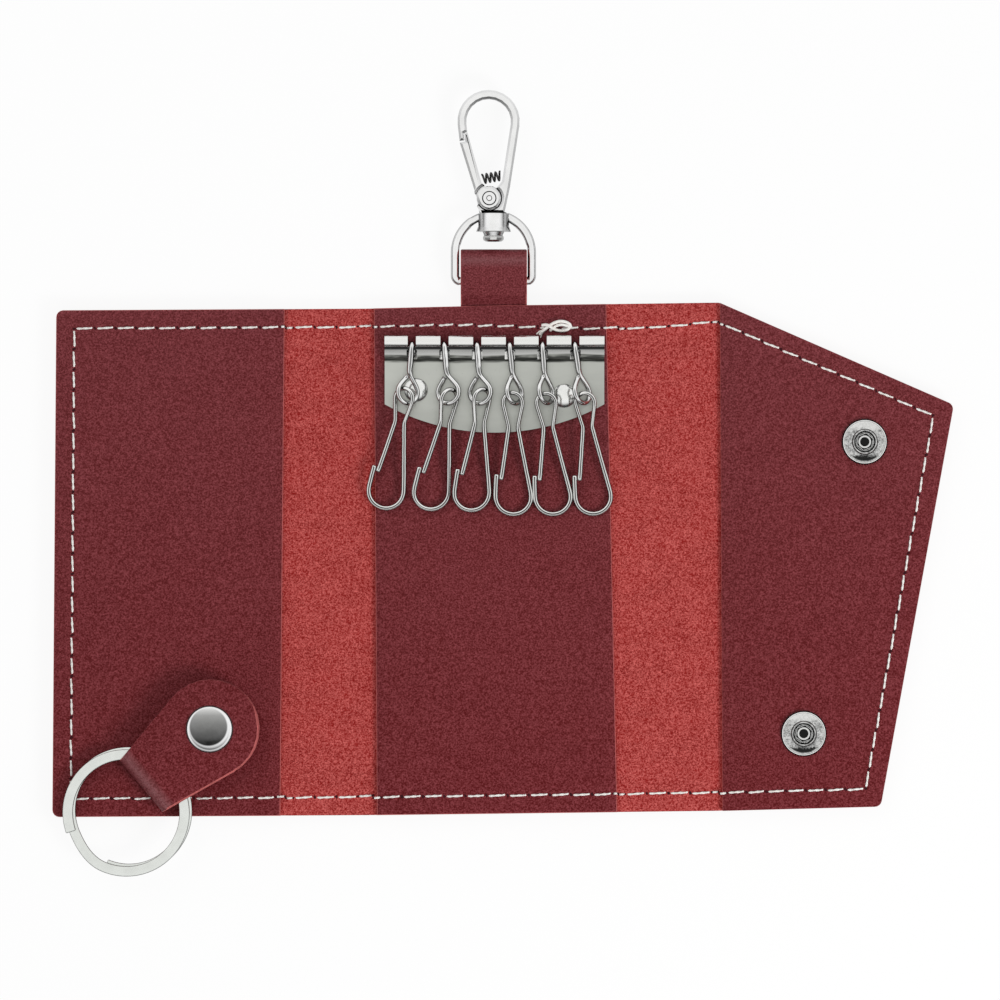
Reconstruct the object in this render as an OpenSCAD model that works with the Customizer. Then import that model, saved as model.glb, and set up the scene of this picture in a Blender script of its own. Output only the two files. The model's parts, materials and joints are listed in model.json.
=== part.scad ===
// Trifold leather key case, lying open on its back with the inside up.
// The origin is on the back of the outer cover, at the middle panel.
// X runs along the width, Y up the case and Z toward the viewer.

/* [Leather] */
// Thickness of the outer cover
cover_t = 1.2; // [1.0:0.1:1.4]
// Thickness of the inner panels
panel_t = 1.2; // [1.0:0.1:1.4]
// Distance between the two fold lines beside the middle panel
middle_w = 58.1; // [57.8:0.1:59]
// Width of the left panel at its lower edge
left_panel_w = 53.65; // [52:0.05:55]
// Width of the left fold strip
spine_left_w = 18.2; // [18:0.1:20]
// How much wider the right fold strip is, so that it closes over the left panel
spine_extra = 5; // [5:0.1:6]
// Height of the case at the left panel
case_h = 116.4; // [114:0.2:118]
// Radius of the rounded leather corners
corner_r = 1.6; // [1:0.1:2.5]

/* [Seam] */
// Length of one stitch with its gap
stitch_pitch = 4.7; // [4:0.1:6]
// Width of the sewing thread
thread_w = 0.7; // [0.5:0.1:0.9]
// Distance of the seam from the leather's edge
seam_inset = 4.2; // [3.6:0.1:5]
// Depth of the groove that the seam lies in on the back
groove_depth = 0.35; // [0.33:0.01:0.45]

/* [Key plate] */
// Width of the plate
plate_w = 50.4; // [50:0.1:50.8]
// Thickness of its sheet
sheet_t = 0.7; // [0.6:0.05:0.8]
// Outer diameter of the rolled knuckles
knuckle_d = 3; // [2.8:0.1:3.1]
// Distance from one key link to the next
link_pitch = 7.5; // [7.4:0.05:7.6]
// Width of the notch round each link
notch_w = 1.9; // [1.8:0.05:2.1]
// Diameter of the domed rivet heads
rivet_d = 5.5; // [5:0.1:5.8]

/* [Links and hooks] */
// Diameter of a link's wire
link_wire_d = 1.1; // [0.9:0.05:1.1]
// Diameter of a hook's wire
hook_wire_d = 1; // [0.8:0.05:1]

/* [Snaps] */
// Diameter of a snap's cap and socket
snap_d = 10.4; // [10:0.1:10.6]
// Height of a cap above the leather
cap_h = 2; // [1.9:0.05:2]
// Height of a socket
socket_h = 1.5; // [1.4:0.05:1.55]
// Height of a stud
stud_h = 2; // [1.95:0.05:2]

/* [Tab and rings] */
// Thickness of the tab's leather
tab_t = 1.2; // [1.1:0.05:1.3]
// Width of the tab at its crease
tab_w = 15.3; // [14:0.1:16]
// Outer diameter of the split ring
split_ring_d = 30; // [29:0.5:30]
// Width of the strap
strap_w = 15.2; // [14.8:0.1:15.4]
// Diameter of the D-ring's wire
dee_wire_d = 1.8; // [1.6:0.05:1.8]

/* [Clasp] */
// Depth of the clasp from back to front
clasp_t = 3; // [2.8:0.1:3]
// Width of the bar that forms the clasp's eye
clasp_bar_w = 2; // [1.8:0.05:2.1]

/* [Hidden] */

// Facets of thick round parts, of wires, of large rings and of a rounded corner
round_fn = 18;
wire_fn = 13;
wire_sides = 8;
ring_fn = 26;
corner_steps = 4;
// Clearances: loose between bodies, close at a running fit, and the overrun of a cut
loose = 0.3;
fit = 0.05;
over = 0.2;

leather_top = cover_t + panel_t;

// Upper and lower edge of the left panel; the case's middle lies a little under the origin
case_drop = 0.6;
edge_low = case_h / 2 + case_drop;
edge_high = case_h - edge_low;

// Fold lines from left to right; the middle panel's middle lies a little left of the origin
middle_shift = 0.65;
fold_a = -middle_shift - middle_w / 2;
fold_b = fold_a - spine_left_w;
fold_c = fold_a + middle_w;
spine_right_w = spine_left_w + spine_extra;
fold_d = fold_c + spine_right_w;

// Cut edges of the inner panels at their lower and upper end, measured in from the fold lines
middle_left_in = [2.7, 2];
middle_right_in = [0.2, 2.7];
left_in = [1.3, 0.3];
right_in = [0.8, 0.2];

// Outline of the outer cover, corner by corner, from the lower left round to the right. Its
// upper and lower edges rise a little to the right, and the flap's corners are measured from
// the fold line and from those edges.
left_slant = 0.9;
low_rise_a = 0.4;
low_rise_d = 1.4;
high_rise_a = 0.4;
high_rise_middle = 1.1;
high_rise_d = 1.8;
flap_low = [37.1, 2.4];
flap_high = [53.9, 21.7];
hide_corners = [
  [fold_b - left_panel_w, -edge_low],
  [fold_a, low_rise_a - edge_low],
  [fold_d, low_rise_d - edge_low],
  [fold_d + flap_low[0], flap_low[1] - edge_low],
  [fold_d + flap_high[0], edge_high - flap_high[1]],
  [fold_d, edge_high + high_rise_d],
  [0, edge_high + high_rise_middle],
  [fold_a, edge_high + high_rise_a],
  [fold_b - left_panel_w + left_slant, edge_high]
];

// Snaps: places on the right panel, from its fold line and from the nearer edge, and their mates
// on the left panel's back, which meet them once the case is closed
snap_upper_in = [33.4, 30.2];
snap_lower_in = [19.4, 19.2];
snap_upper = [fold_d + snap_upper_in[0], edge_high - snap_upper_in[1]];
snap_lower = [fold_d + snap_lower_in[0], snap_lower_in[1] - edge_low];
function mate(p) = [fold_a + fold_b - fold_c - fold_d + p[0], p[1]];
stud_upper_at = mate(snap_upper);
stud_lower_at = mate(snap_lower);

// Snap fittings
shank_d = 2.6;
flange_d = 7.6;
flange_t = 0.45;
neck_d = 2.9;
bulb_d = 3.5;
neck_h = 1.6;
socket_bore_d = 4.8;
socket_base_t = 0.25;
washer_t = 0.4;
groove_share = 0.03;
rolled_end_d = 2.9;
rolled_end_h = 0.2;
snap_wire_d = 0.35;
snap_wire_x = 1.72;
snap_wire_depth = 0.3;
cap_rim_h = 0.5;

// Tab: its snap from the left fold line and the lower edge, its direction and its leaves' heights
tab_in = [17.3, 20.4];
tab_at = [fold_b - tab_in[0], tab_in[1] - edge_low];
tab_turn = 220;
tab_reach = 20.6;
tab_end_r = 11.3;
leaf_room = 1.1;
leaf_gap = socket_h + leaf_room;
tab_low = leather_top + loose;
tab_leaf = tab_low + tab_t;
tab_high = tab_leaf + leaf_gap;
tab_top = tab_high + tab_t;
tab_mid = tab_leaf + leaf_gap / 2;

// Split ring: its centre along and across the tab, its section and its slight droop
split_ring_u = 26.8;
split_ring_v = 2.4;
band_w = 2.2;
band_h = 2;
band_edge = 0.3;
droop_u = 15.3;
droop_turn = 3.4;
split_turn = 338;
split_w = 0.5;

// From here to the hooks, places along Y are measured up from the upper edge of the case.
// Strap: its tails between the leathers, and the loop that holds the D-ring's straight side
tail_t = 0.6;
strap_leaf_t = 1;
strap_x = -0.15;
strap_end = -11.6;
strap_lip = 1.5;
strap_rise = 1.8;
strap_fold = 14;
strap_loop_h = 2.2;

// D-ring and its boss
dee_z = 2.2;
dee_bar_y = 6.7;
dee_centre = [-0.25, 13.2];
dee_r = 8.75;
dee_corner_r = 1.2;
boss_d = 7;
boss_flare_d = 7.9;
boss_top = 22.2;
boss_waist = 19.2;
boss_low = 18.1;
post_d = 3;
post_head_d = 4.9;
post_head_low = 15.8;
post_gap = 0.15;

// Clasp: the eye and how its legs lean, the legs' lengths, the stepped nose and the base
eye_c = [-1.36, 43.4];
eye_r = 7.14;
lean_right = 8.7;
lean_left = 6.7;
right_leg_l = 14.1;
inner_leg_l = 13.2;
nose_l = 3.7;
nose_step = 1.15;
nose_notch_l = 2.1;
nose_inner_l = 1.7;
base_y = 22.45;
base_x = [-3.5, 2.3];

// Gate: its pivot with the cheek and the pocket, its head, and the seat of its spring
pivot = [-1.2, 25.7];
pin_d = 1.4;
cheek_r = 2.9;
cheek_t = 1.05;
cheek_from = 55;
cheek_to = 205;
pocket_r = 2.95;
gate_head_r = 2.7;
gate_head_end = 465;
gate_seat = [-3, 29.3];
gate_low = cheek_t - clasp_t / 2 + 2 * fit;
gate_top = clasp_t / 2 - 3 * fit;

// Gate spring: its ends, its coil, and the points along its wire
gate_spring_from = [-2.7, 30.15];
gate_spring_to = [1.4, 30.9];
gate_spring_d = 2.6;
gate_spring_wire_d = 0.4;
gate_spring_curls = 4;
gate_spring_sides = 6;
curl_rings = 8;
coil_from = [gate_spring_from[0], gate_spring_from[1], dee_z];
coil_to = [gate_spring_to[0], gate_spring_to[1], dee_z];
coil_r = (gate_spring_d - gate_spring_wire_d) / 2;
coil_steps = gate_spring_curls * curl_rings;
coil_side = unit(cross([0, 0, 1], coil_to - coil_from));
function coil_point(i) =
  let (a = 360 * i / curl_rings)
  coil_from + (coil_to - coil_from) * i / coil_steps + coil_r * (coil_side * cos(a) + [0, 0, sin(a)]);
coil_points = [for (i = [0:coil_steps]) coil_point(i)];
coil_gap = min([
  for (i = [0:coil_steps])
    for (j = [i + curl_rings / 2:1:coil_steps])
      norm(coil_points[i] - coil_points[j])
]) - gate_spring_wire_d;
echo(least_gap_between_the_spring_curls = coil_gap);

// Key plate, with its knuckles, hinge bars, windows and rivets
plate_y = -21.6;
plate_sag = 6.5;
step_y = -11.6;
shelf_y = -10.9;
shelf_z = 4;
knuckle_y = -7.25;
knuckle_bore_d = 1.6;
bar_y = -8.75;
bar_z = 4.35;
bar_d = 0.9;
window_w = 2.4;
window_y = [-11.5, -9.2];
link_shift = 0.2;
link_x = [for (i = [0:5]) (i - 5 / 2) * link_pitch - link_shift];
rivet_left = [-18.05, -18.3];
rivet_right = [16, -19.65];
rivet_h = 1;
rivet_shank_d = 2.2;
rivet_tail_d = 5;
rivet_tail_t = 0.4;

// Links: size of the loop, the stem and the teardrop eye, then how each one lies
loop_r = 1.15;
eye_tip = 6;
eye_mid = 10.3;
link_eye_r = 2.6;
link_lift = [9.4, 9.4, 9.2, 7.4, 10.8, 7.9];
link_turn = [30, -20.5, -20, 48, 51.8, 48];
link_lean = [-5, 5, 3.8, 5.7, 4.1, 8.5];
link_gap = 1.2;
loop_start = -182;
loop_steps = 10;
eye_steps = 12;

// Hooks: head, neck, legs and mouth in their own frame, then how each one lies
head_r = 2.3;
neck = [1.05, -5.6];
leg_end = [-2.9, -17.8];
bow_c = [-0.3, -21.9];
bow_r = 3.95;
free_end = [-3.95, -16.5];
hook_head = [
  [-20.7, -20.25, 6.46], [-10.35, -20.47, 6.66], [-2.92, -20.42, 6.55],
  [4.2, -21.25, 6.5], [11.85, -21.4, 7.13], [20.75, -21.3, 6.78]
];
head_twist = [-21, 27, 28, -12.7, -12.5, -17.7];
hook_roll = [-6.6, 12, 10, -1.2, 0, -0.4];
hook_lean = [-10.3, -10.2, -5.3, 1.1, 4.9, 5.8];
hook_length = 26;
hook_half_w = 3.2;
hook_rest_gap = 0.06;
hook_rest_z = leather_top + hook_wire_d / 2 + hook_rest_gap;
head_steps = 10;
bow_steps = 11;

// Stitches: height, gap between two, slant, and the space kept free beside a fold or a cut edge;
// and the width of the groove in the back
thread_h = 0.3;
stitch_gap = 0.7;
stitch_slant = 3;
fold_free = 1.6;
edge_free = 0.9;
groove_w = 1.1;

// A corner whose half angle is over this is nearly straight and stays sharp
straight_half_angle = 80;

// Colours
grain = [0.42, 0.19, 0.2];
suede = [0.67, 0.28, 0.26];
nickel = [0.78, 0.78, 0.77];
steel = [0.6, 0.6, 0.59];
thread = [0.93, 0.9, 0.87];

// Points of an arc round c from angle a0 to angle a1
function arc(c, r, a0, a1, n) =
  [for (i = [0:n]) let (a = a0 + (a1 - a0) * i / n) [c[0] + r * cos(a), c[1] + r * sin(a)]];

function on_circle(c, r, a) = [c[0] + r * cos(a), c[1] + r * sin(a)];

function unit(v) = v / norm(v);

// Half the angle at corner b, and the point that lies d inside both sides of it
function half_angle(a, b, c) = acos(unit(a - b) * unit(c - b)) / 2;
function inside_corner(a, b, c, d) =
  let (n = unit([b[1] - a[1], a[0] - b[0]]) + unit([c[1] - b[1], b[0] - c[0]]))
  b - unit(n) * d / sin(half_angle(a, b, c));

// Arc that rounds the corner b between a and c; a nearly straight corner stays a point
function corner_arc(a, b, c, r) =
  let (
    half = half_angle(a, b, c),
    centre = inside_corner(a, b, c, r),
    from = b + unit(a - b) * r / tan(half) - centre,
    start = atan2(from[1], from[0])
  )
  half > straight_half_angle ? [b] : arc(centre, r, start, start + 180 - 2 * half, corner_steps);

function before(pts, i) = pts[(i + len(pts) - 1) % len(pts)];
function after(pts, i) = pts[(i + 1) % len(pts)];

function rounded(pts, r) =
  [for (i = [0:len(pts) - 1]) each corner_arc(before(pts, i), pts[i], after(pts, i), r)];

function inset(pts, d) =
  [for (i = [0:len(pts) - 1]) inside_corner(before(pts, i), pts[i], after(pts, i), d)];

// Part of the line from a to b between two upright lines
function at_x(a, b, x) = a + (b - a) * (x - a[0]) / (b[0] - a[0]);
function kept(a, b, x0, x1) = a[0] < x0 ? at_x(a, b, x0) : a[0] > x1 ? at_x(a, b, x1) : a;

// Angle on a circle where the tangent from point p touches it, on the side given by s
function tangent_at(c, r, p, s) =
  atan2(p[1] - c[1], p[0] - c[0]) + s * acos(r / norm([p[0] - c[0], p[1] - c[1]]));

module rod(a, b, d) {
  v = b - a;
  translate(a)
    rotate([0, acos(v[2] / norm(v)), atan2(v[1], v[0])])
      cylinder(d = d, h = norm(v), $fn = wire_fn);
}

// Bent wire: an arc in the XY plane round c from angle a0 to a1
module bend(c, r, a0, a1, d) {
  translate([c[0], c[1], 0])
    rotate([0, 0, a0])
      rotate_extrude(angle = a1 - a0, $fn = ring_fn)
        translate([r, 0])
          circle(d = d, $fn = wire_fn);
}

function flat(p) = [p[0], p[1], 0];

// Direction of a path at its point i, and a normal carried along the path without twisting
function heading(pts, i) = unit(pts[min(i + 1, len(pts) - 1)] - pts[max(i - 1, 0)]);
function square_to(n, t) = unit(n - (n * t) * t);
function normals(pts, first) =
  [for (
    i = 0, n = square_to(first, heading(pts, 0));
    i < len(pts);
    i = i + 1, n = square_to(n, heading(pts, min(i, len(pts) - 1)))
  ) n];

// Wire of radius r along a path, as one closed tube
module wire(path, r, sides, first) {
  normal = normals(path, first);
  steps = len(path) - 1;
  rim = [
    for (i = [0:steps])
      for (k = [0:sides - 1])
        let (a = 360 * k / sides)
        path[i] + r * (cos(a) * normal[i] + sin(a) * cross(heading(path, i), normal[i]))
  ];
  walls = [
    for (i = [0:steps - 1])
      for (k = [0:sides - 1])
        let (n = (k + 1) % sides, low = i * sides, high = low + sides)
        each [[low + k, high + k, low + n], [low + n, high + k, high + n]]
  ];
  last = steps * sides;
  ends = [
    for (k = [1:sides - 2])
      each [[0, k, k + 1], [last, last + k + 1, last + k]]
  ];
  polyhedron(points = rim, faces = concat(walls, ends));
}

// The same place at the lower and the upper end of a straight edge
function upright(x) = [x, x];

// Piece of leather cut from the outline of the whole case between two nearly upright edges, each
// given by its place at the lower and the upper end
module leather_piece(left, right, z, t) {
  left_lean = (left[1] - left[0]) / 2;
  right_lean = (right[1] - right[0]) / 2;
  intersection() {
    translate([0, 0, z])
      linear_extrude(t)
        polygon(rounded(hide_corners, corner_r));
    translate([0, 0, z - over])
      linear_extrude(t + 2 * over)
        polygon([
          [left[0] - left_lean, -case_h], [right[0] - right_lean, -case_h],
          [right[1] + right_lean, case_h], [left[1] + left_lean, case_h]
        ]);
  }
}

// Stretch of the outer cover between two fold lines, with the groove for the seam in its back
module cover_piece(left, right) {
  difference() {
    leather_piece(upright(left), upright(right), 0, cover_t);
    translate([0, 0, -over])
      linear_extrude(groove_depth + over)
        difference() {
          polygon(inset(hide_corners, seam_inset - groove_w / 2));
          polygon(inset(hide_corners, seam_inset + groove_w / 2));
        }
  }
}

module stitch(p, turn, length) {
  translate(p)
    rotate([90, 0, 90 + turn])
      linear_extrude(length, center = true)
        polygon([[-thread_w / 2, 0], [thread_w / 2, 0], [0, thread_h]]);
}

module seam_run(a, b) {
  count = round(norm(b - a) / stitch_pitch);
  turn = atan2(b[1] - a[1], b[0] - a[0]);
  for (i = [0:count - 1])
    stitch(flat(a + (b - a) * (i + 0.5) / count), turn + stitch_slant,
      norm(b - a) / count - stitch_gap);
}

// Seam round the case between two nearly upright edges, at height 0 and upward
module seam(left, right) {
  line = inset(hide_corners, seam_inset);
  for (i = [0:len(line) - 1]) {
    a = line[i];
    b = after(line, i);
    end = a[1] + b[1] < 0 ? 0 : 1;
    if (max(a[0], b[0]) > left[end] && min(a[0], b[0]) < right[end])
      seam_run(kept(a, b, left[end], right[end]), kept(b, a, left[end], right[end]));
  }
}

module front_seam(left, right, z) {
  color(thread)
    translate([0, 0, z])
      seam(left, right);
}

// The seam on the back lies in its groove
module back_seam(left, right) {
  color(thread)
    translate([0, 0, groove_depth])
      mirror([0, 0, 1])
        seam(left, right);
}

module hole(p, d, low, high) {
  translate([p[0], p[1], low - over])
    cylinder(d = d, h = high - low + 2 * over, $fn = round_fn);
}

module recess(p, d, low, high) {
  translate([p[0], p[1], low])
    cylinder(d = d, h = high - low, $fn = round_fn);
}

module strap_tail_space(low, high) {
  translate([strap_x - strap_w / 2 - fit, strap_end - fit, low])
    cube([strap_w + 2 * fit, case_h, high - low]);
}

// Measures what it holds from the case's upper edge
module from_upper_edge() {
  translate([0, edge_high, 0])
    children();
}

// Middle panel

middle_left_edge = upright(fold_a) + middle_left_in;
middle_right_edge = upright(fold_c) - middle_right_in;

module cover_middle() {
  color(suede)
    difference() {
      cover_piece(fold_a, fold_c);
      from_upper_edge() {
        strap_tail_space(cover_t - tail_t, cover_t + over);
        for (p = [rivet_left, rivet_right])
          recess(p, rivet_tail_d + 2 * fit, cover_t - rivet_tail_t - fit, cover_t + over);
      }
    }
}

module panel_middle() {
  color(grain)
    difference() {
      leather_piece(middle_left_edge, middle_right_edge, cover_t, panel_t);
      from_upper_edge() {
        strap_tail_space(cover_t - over, cover_t + tail_t);
        for (p = [rivet_left, rivet_right])
          hole(p, rivet_shank_d + 2 * fit, cover_t, leather_top);
      }
    }
}

module stitching_middle() {
  front_seam(middle_left_edge + upright(edge_free), middle_right_edge - upright(edge_free),
    leather_top);
  back_seam(upright(fold_a + fold_free), upright(fold_c - fold_free));
}

function strap_arc(r) = arc([strap_fold - strap_leaf_t - strap_loop_h / 2, dee_z], r, -90, 90, 8);

module strap() {
  outer_r = strap_loop_h / 2 + strap_leaf_t;
  inner_r = strap_loop_h / 2;
  color(grain)
    from_upper_edge()
      translate([strap_x - strap_w / 2, 0, 0])
        rotate([90, 0, 90])
          linear_extrude(strap_w)
            difference() {
              polygon(concat(
                [[strap_end, cover_t - tail_t], [strap_lip, cover_t - tail_t],
                  [strap_lip + strap_rise, dee_z - outer_r]],
                strap_arc(outer_r),
                [[strap_lip + strap_rise, dee_z + outer_r], [strap_lip, cover_t + tail_t],
                  [strap_end, cover_t + tail_t]]
              ));
              polygon(concat(
                [[strap_lip + strap_rise, cover_t], [strap_lip + 2 * strap_rise, dee_z - inner_r]],
                strap_arc(inner_r),
                [[strap_lip + 2 * strap_rise, dee_z + inner_r]]
              ));
            }
}

// Key plate: a sheet with an arched lower edge, a raised shelf and a rolled upper edge, notched
// round the links, which hang on short bars over windows

module plate_sheet() {
  edge_r = (pow(plate_w / 2, 2) + pow(plate_sag, 2)) / (2 * plate_sag);
  translate([0, 0, leather_top])
    intersection() {
      translate([-plate_w / 2, plate_y - plate_sag - over, 0])
        cube([plate_w, shelf_y - plate_y + plate_sag + over, sheet_t]);
      translate([0, plate_y - plate_sag + edge_r, -over])
        cylinder(r = edge_r, h = sheet_t + 2 * over, $fn = 3 * ring_fn);
    }
}

module plate_shelf() {
  translate([-plate_w / 2, 0, 0])
    rotate([90, 0, 90])
      linear_extrude(plate_w)
        polygon([
          [step_y, leather_top], [shelf_y + sheet_t, leather_top], [shelf_y + sheet_t, shelf_z],
          [knuckle_y - knuckle_d / 4, shelf_z], [knuckle_y - knuckle_d / 4, shelf_z + sheet_t],
          [shelf_y, shelf_z + sheet_t], [step_y, leather_top + sheet_t]
        ]);
}

module plate_slot(x, w, from, to) {
  translate([x - w / 2, from, leather_top - over])
    cube([w, to - from, case_h]);
}

module key_plate() {
  tube_z = leather_top + knuckle_d / 2 + fit;
  color(nickel)
    from_upper_edge() {
      difference() {
        union() {
          plate_sheet();
          plate_shelf();
          rod([-plate_w / 2, knuckle_y, tube_z], [plate_w / 2, knuckle_y, tube_z], knuckle_d);
        }
        rod([-plate_w, knuckle_y, tube_z], [plate_w, knuckle_y, tube_z], knuckle_bore_d);
        for (x = link_x) {
          plate_slot(x, notch_w, window_y[0], knuckle_y + knuckle_d);
          plate_slot(x, window_w, window_y[0], window_y[1]);
        }
        for (p = [rivet_left, rivet_right])
          hole(p, rivet_shank_d + 2 * fit, leather_top, leather_top + sheet_t);
      }
      for (x = link_x)
        rod([x - notch_w / 2 - loose, bar_y, bar_z], [x + notch_w / 2 + loose, bar_y, bar_z], bar_d);
    }
}

module plate_rivet(p) {
  top = leather_top + sheet_t;
  dome_r = (pow(rivet_d / 2, 2) + pow(rivet_h, 2)) / (2 * rivet_h);
  rim = asin((dome_r - rivet_h) / dome_r);
  color(nickel)
    translate([p[0], edge_high + p[1], 0])
      rotate_extrude($fn = round_fn)
        polygon(concat(
          [[0, cover_t - rivet_tail_t], [rivet_tail_d / 2, cover_t - rivet_tail_t],
            [rivet_tail_d / 2, cover_t], [rivet_shank_d / 2, cover_t], [rivet_shank_d / 2, top]],
          arc([0, top + rivet_h - dome_r], dome_r, rim, 90, 5)
        ));
}

module plate_rivet_left() {
  plate_rivet(rivet_left);
}

module plate_rivet_right() {
  plate_rivet(rivet_right);
}

// Left strip and left panel

module cover_left_strip() {
  color(suede)
    cover_piece(fold_b, fold_a);
}

module stitching_left_strip() {
  from = upright(fold_b + fold_free);
  to = upright(fold_a - fold_free);
  front_seam(from, to, cover_t);
  back_seam(from, to);
}

module cover_left() {
  color(suede)
    difference() {
      cover_piece(fold_b - case_h, fold_b);
      for (p = [stud_upper_at, stud_lower_at])
        hole(p, shank_d + 2 * fit, 0, cover_t);
    }
}

left_edge = upright(fold_b) - left_in;

module panel_left() {
  color(grain)
    difference() {
      leather_piece(upright(fold_b - case_h), left_edge, cover_t, panel_t);
      hole(tab_at, shank_d + 2 * fit, cover_t, leather_top);
      for (p = [tab_at, stud_upper_at, stud_lower_at])
        recess(p, flange_d + 2 * fit, cover_t - over, cover_t + washer_t + fit);
    }
}

module stitching_left() {
  front_seam(upright(fold_b - case_h), left_edge - upright(edge_free), leather_top);
  back_seam(upright(fold_b - case_h), upright(fold_b - fold_free));
}

// Snap pieces, each drawn outward from the leather face that it sits on

module stud(grip) {
  rotate_extrude($fn = round_fn)
    polygon([
      [0, -grip - washer_t], [flange_d / 2, -grip - washer_t], [flange_d / 2, -grip],
      [shank_d / 2, -grip], [shank_d / 2, 0], [flange_d / 2, 0], [flange_d / 2, flange_t / 2],
      [neck_d / 2 + flange_t, flange_t], [neck_d / 2, flange_t], [neck_d / 2, neck_h - fit],
      [bulb_d / 2, neck_h], [bulb_d / 2, (neck_h + stud_h) / 2], [neck_d / 2, stud_h], [0, stud_h]
    ]);
}

module cap(grip) {
  rim_r = snap_d / 2;
  end = -grip - rolled_end_h;
  rotate_extrude($fn = round_fn)
    polygon(concat(
      [[0, end], [rolled_end_d / 2, end], [rolled_end_d / 2, -grip], [shank_d / 2, -grip],
        [shank_d / 2, 0], [rim_r, 0]],
      [for (i = [0:5]) [rim_r * cos(90 * i / 5), cap_rim_h + (cap_h - cap_rim_h) * sin(90 * i / 5)]]
    ));
}

module socket() {
  groove = snap_d * groove_share;
  rim_r = snap_d / 2;
  bore_r = socket_bore_d / 2;
  rotate_extrude($fn = round_fn)
    polygon([
      [shank_d / 2 + fit, 0], [rim_r, 0], [rim_r, socket_h - groove], [rim_r - groove, socket_h],
      [rim_r - 2 * groove, socket_h], [rim_r - 3 * groove, socket_h - groove / 2],
      [bore_r + 2 * groove, socket_h - groove / 2], [bore_r + groove, socket_h],
      [bore_r + groove / 2, socket_h], [bore_r, socket_h - groove / 2], [bore_r, socket_base_t],
      [shank_d / 2 + fit, socket_base_t]
    ]);
}

// Two wires across the socket's mouth, which grip the neck of the stud
module socket_spring() {
  half = sqrt(pow(socket_bore_d / 2, 2) - pow(snap_wire_x, 2)) - fit;
  z = socket_h - snap_wire_depth;
  for (x = [-snap_wire_x, snap_wire_x])
    rod([x, -half, z], [x, half, z], snap_wire_d);
}

module stud_upper() {
  color(nickel)
    translate(flat(stud_upper_at))
      mirror([0, 0, 1])
        stud(cover_t);
}

module stud_lower() {
  color(nickel)
    translate(flat(stud_lower_at))
      mirror([0, 0, 1])
        stud(cover_t);
}

module tab_stud() {
  color(nickel)
    translate([tab_at[0], tab_at[1], tab_leaf + fit])
      stud(tab_leaf + fit - cover_t - washer_t);
}

// Right strip and right panel

module cover_right_strip() {
  color(suede)
    cover_piece(fold_c, fold_d);
}

module stitching_right_strip() {
  from = upright(fold_c + fold_free);
  to = upright(fold_d - fold_free);
  front_seam(from, to, cover_t);
  back_seam(from, to);
}

right_edge = upright(fold_d) + right_in;

module right_snap_holes() {
  for (p = [snap_upper, snap_lower])
    hole(p, shank_d + 2 * fit, 0, leather_top);
}

module cover_right() {
  color(suede)
    difference() {
      cover_piece(fold_d, fold_d + case_h);
      right_snap_holes();
    }
}

module panel_right() {
  color(grain)
    difference() {
      leather_piece(right_edge, upright(fold_d + case_h), cover_t, panel_t);
      right_snap_holes();
    }
}

module stitching_right() {
  front_seam(right_edge + upright(edge_free), upright(fold_d + case_h), leather_top);
  back_seam(upright(fold_d + fold_free), upright(fold_d + case_h));
}

module back_cap(p) {
  color(nickel)
    translate(flat(p))
      mirror([0, 0, 1])
        cap(leather_top + socket_base_t);
}

module cap_upper() {
  back_cap(snap_upper);
}

module cap_lower() {
  back_cap(snap_lower);
}

module socket_upper() {
  color(nickel)
    translate([snap_upper[0], snap_upper[1], leather_top])
      socket();
}

module socket_lower() {
  color(nickel)
    translate([snap_lower[0], snap_lower[1], leather_top])
      socket();
}

module spring_upper() {
  color(steel)
    translate([snap_upper[0], snap_upper[1], leather_top])
      socket_spring();
}

module spring_lower() {
  color(steel)
    translate([snap_lower[0], snap_lower[1], leather_top])
      socket_spring();
}

// Tab: one strip of leather folded round the split ring and snapped to itself

module in_tab() {
  translate(flat(tab_at))
    rotate([0, 0, tab_turn])
      children();
}

module tab() {
  crease = [tab_reach, tab_w / 2];
  start = tangent_at([0, 0], tab_end_r, crease, 1);
  inner_r = leaf_gap / 2;
  outer_r = inner_r + tab_t;
  roll = [tab_reach - outer_r, tab_mid];
  color(grain)
    in_tab()
      difference() {
        intersection() {
          linear_extrude(2 * tab_top)
            polygon(concat(
              arc([0, 0], tab_end_r, start, 360 - start, 16),
              [crease - [0, tab_w], crease + [over, -tab_w], crease + [over, 0], crease]
            ));
          translate([0, case_h / 2, 0])
            rotate([90, 0, 0])
              linear_extrude(case_h)
                polygon(concat(
                  [[-2 * tab_end_r, tab_low]], arc(roll, outer_r, -90, 90, 8),
                  [[-2 * tab_end_r, tab_top], [-2 * tab_end_r, tab_high]],
                  arc(roll, inner_r, 90, -90, 8), [[-2 * tab_end_r, tab_leaf]]
                ));
        }
        hole([0, 0], shank_d + 2 * fit, tab_low, tab_top);
      }
}

module tab_cap() {
  color(nickel)
    translate([tab_at[0], tab_at[1], tab_top])
      cap(tab_t + socket_base_t);
}

module tab_socket() {
  color(nickel)
    translate([tab_at[0], tab_at[1], tab_high])
      mirror([0, 0, 1])
        socket();
}

module tab_spring() {
  color(steel)
    translate([tab_at[0], tab_at[1], tab_high])
      mirror([0, 0, 1])
        socket_spring();
}

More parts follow.
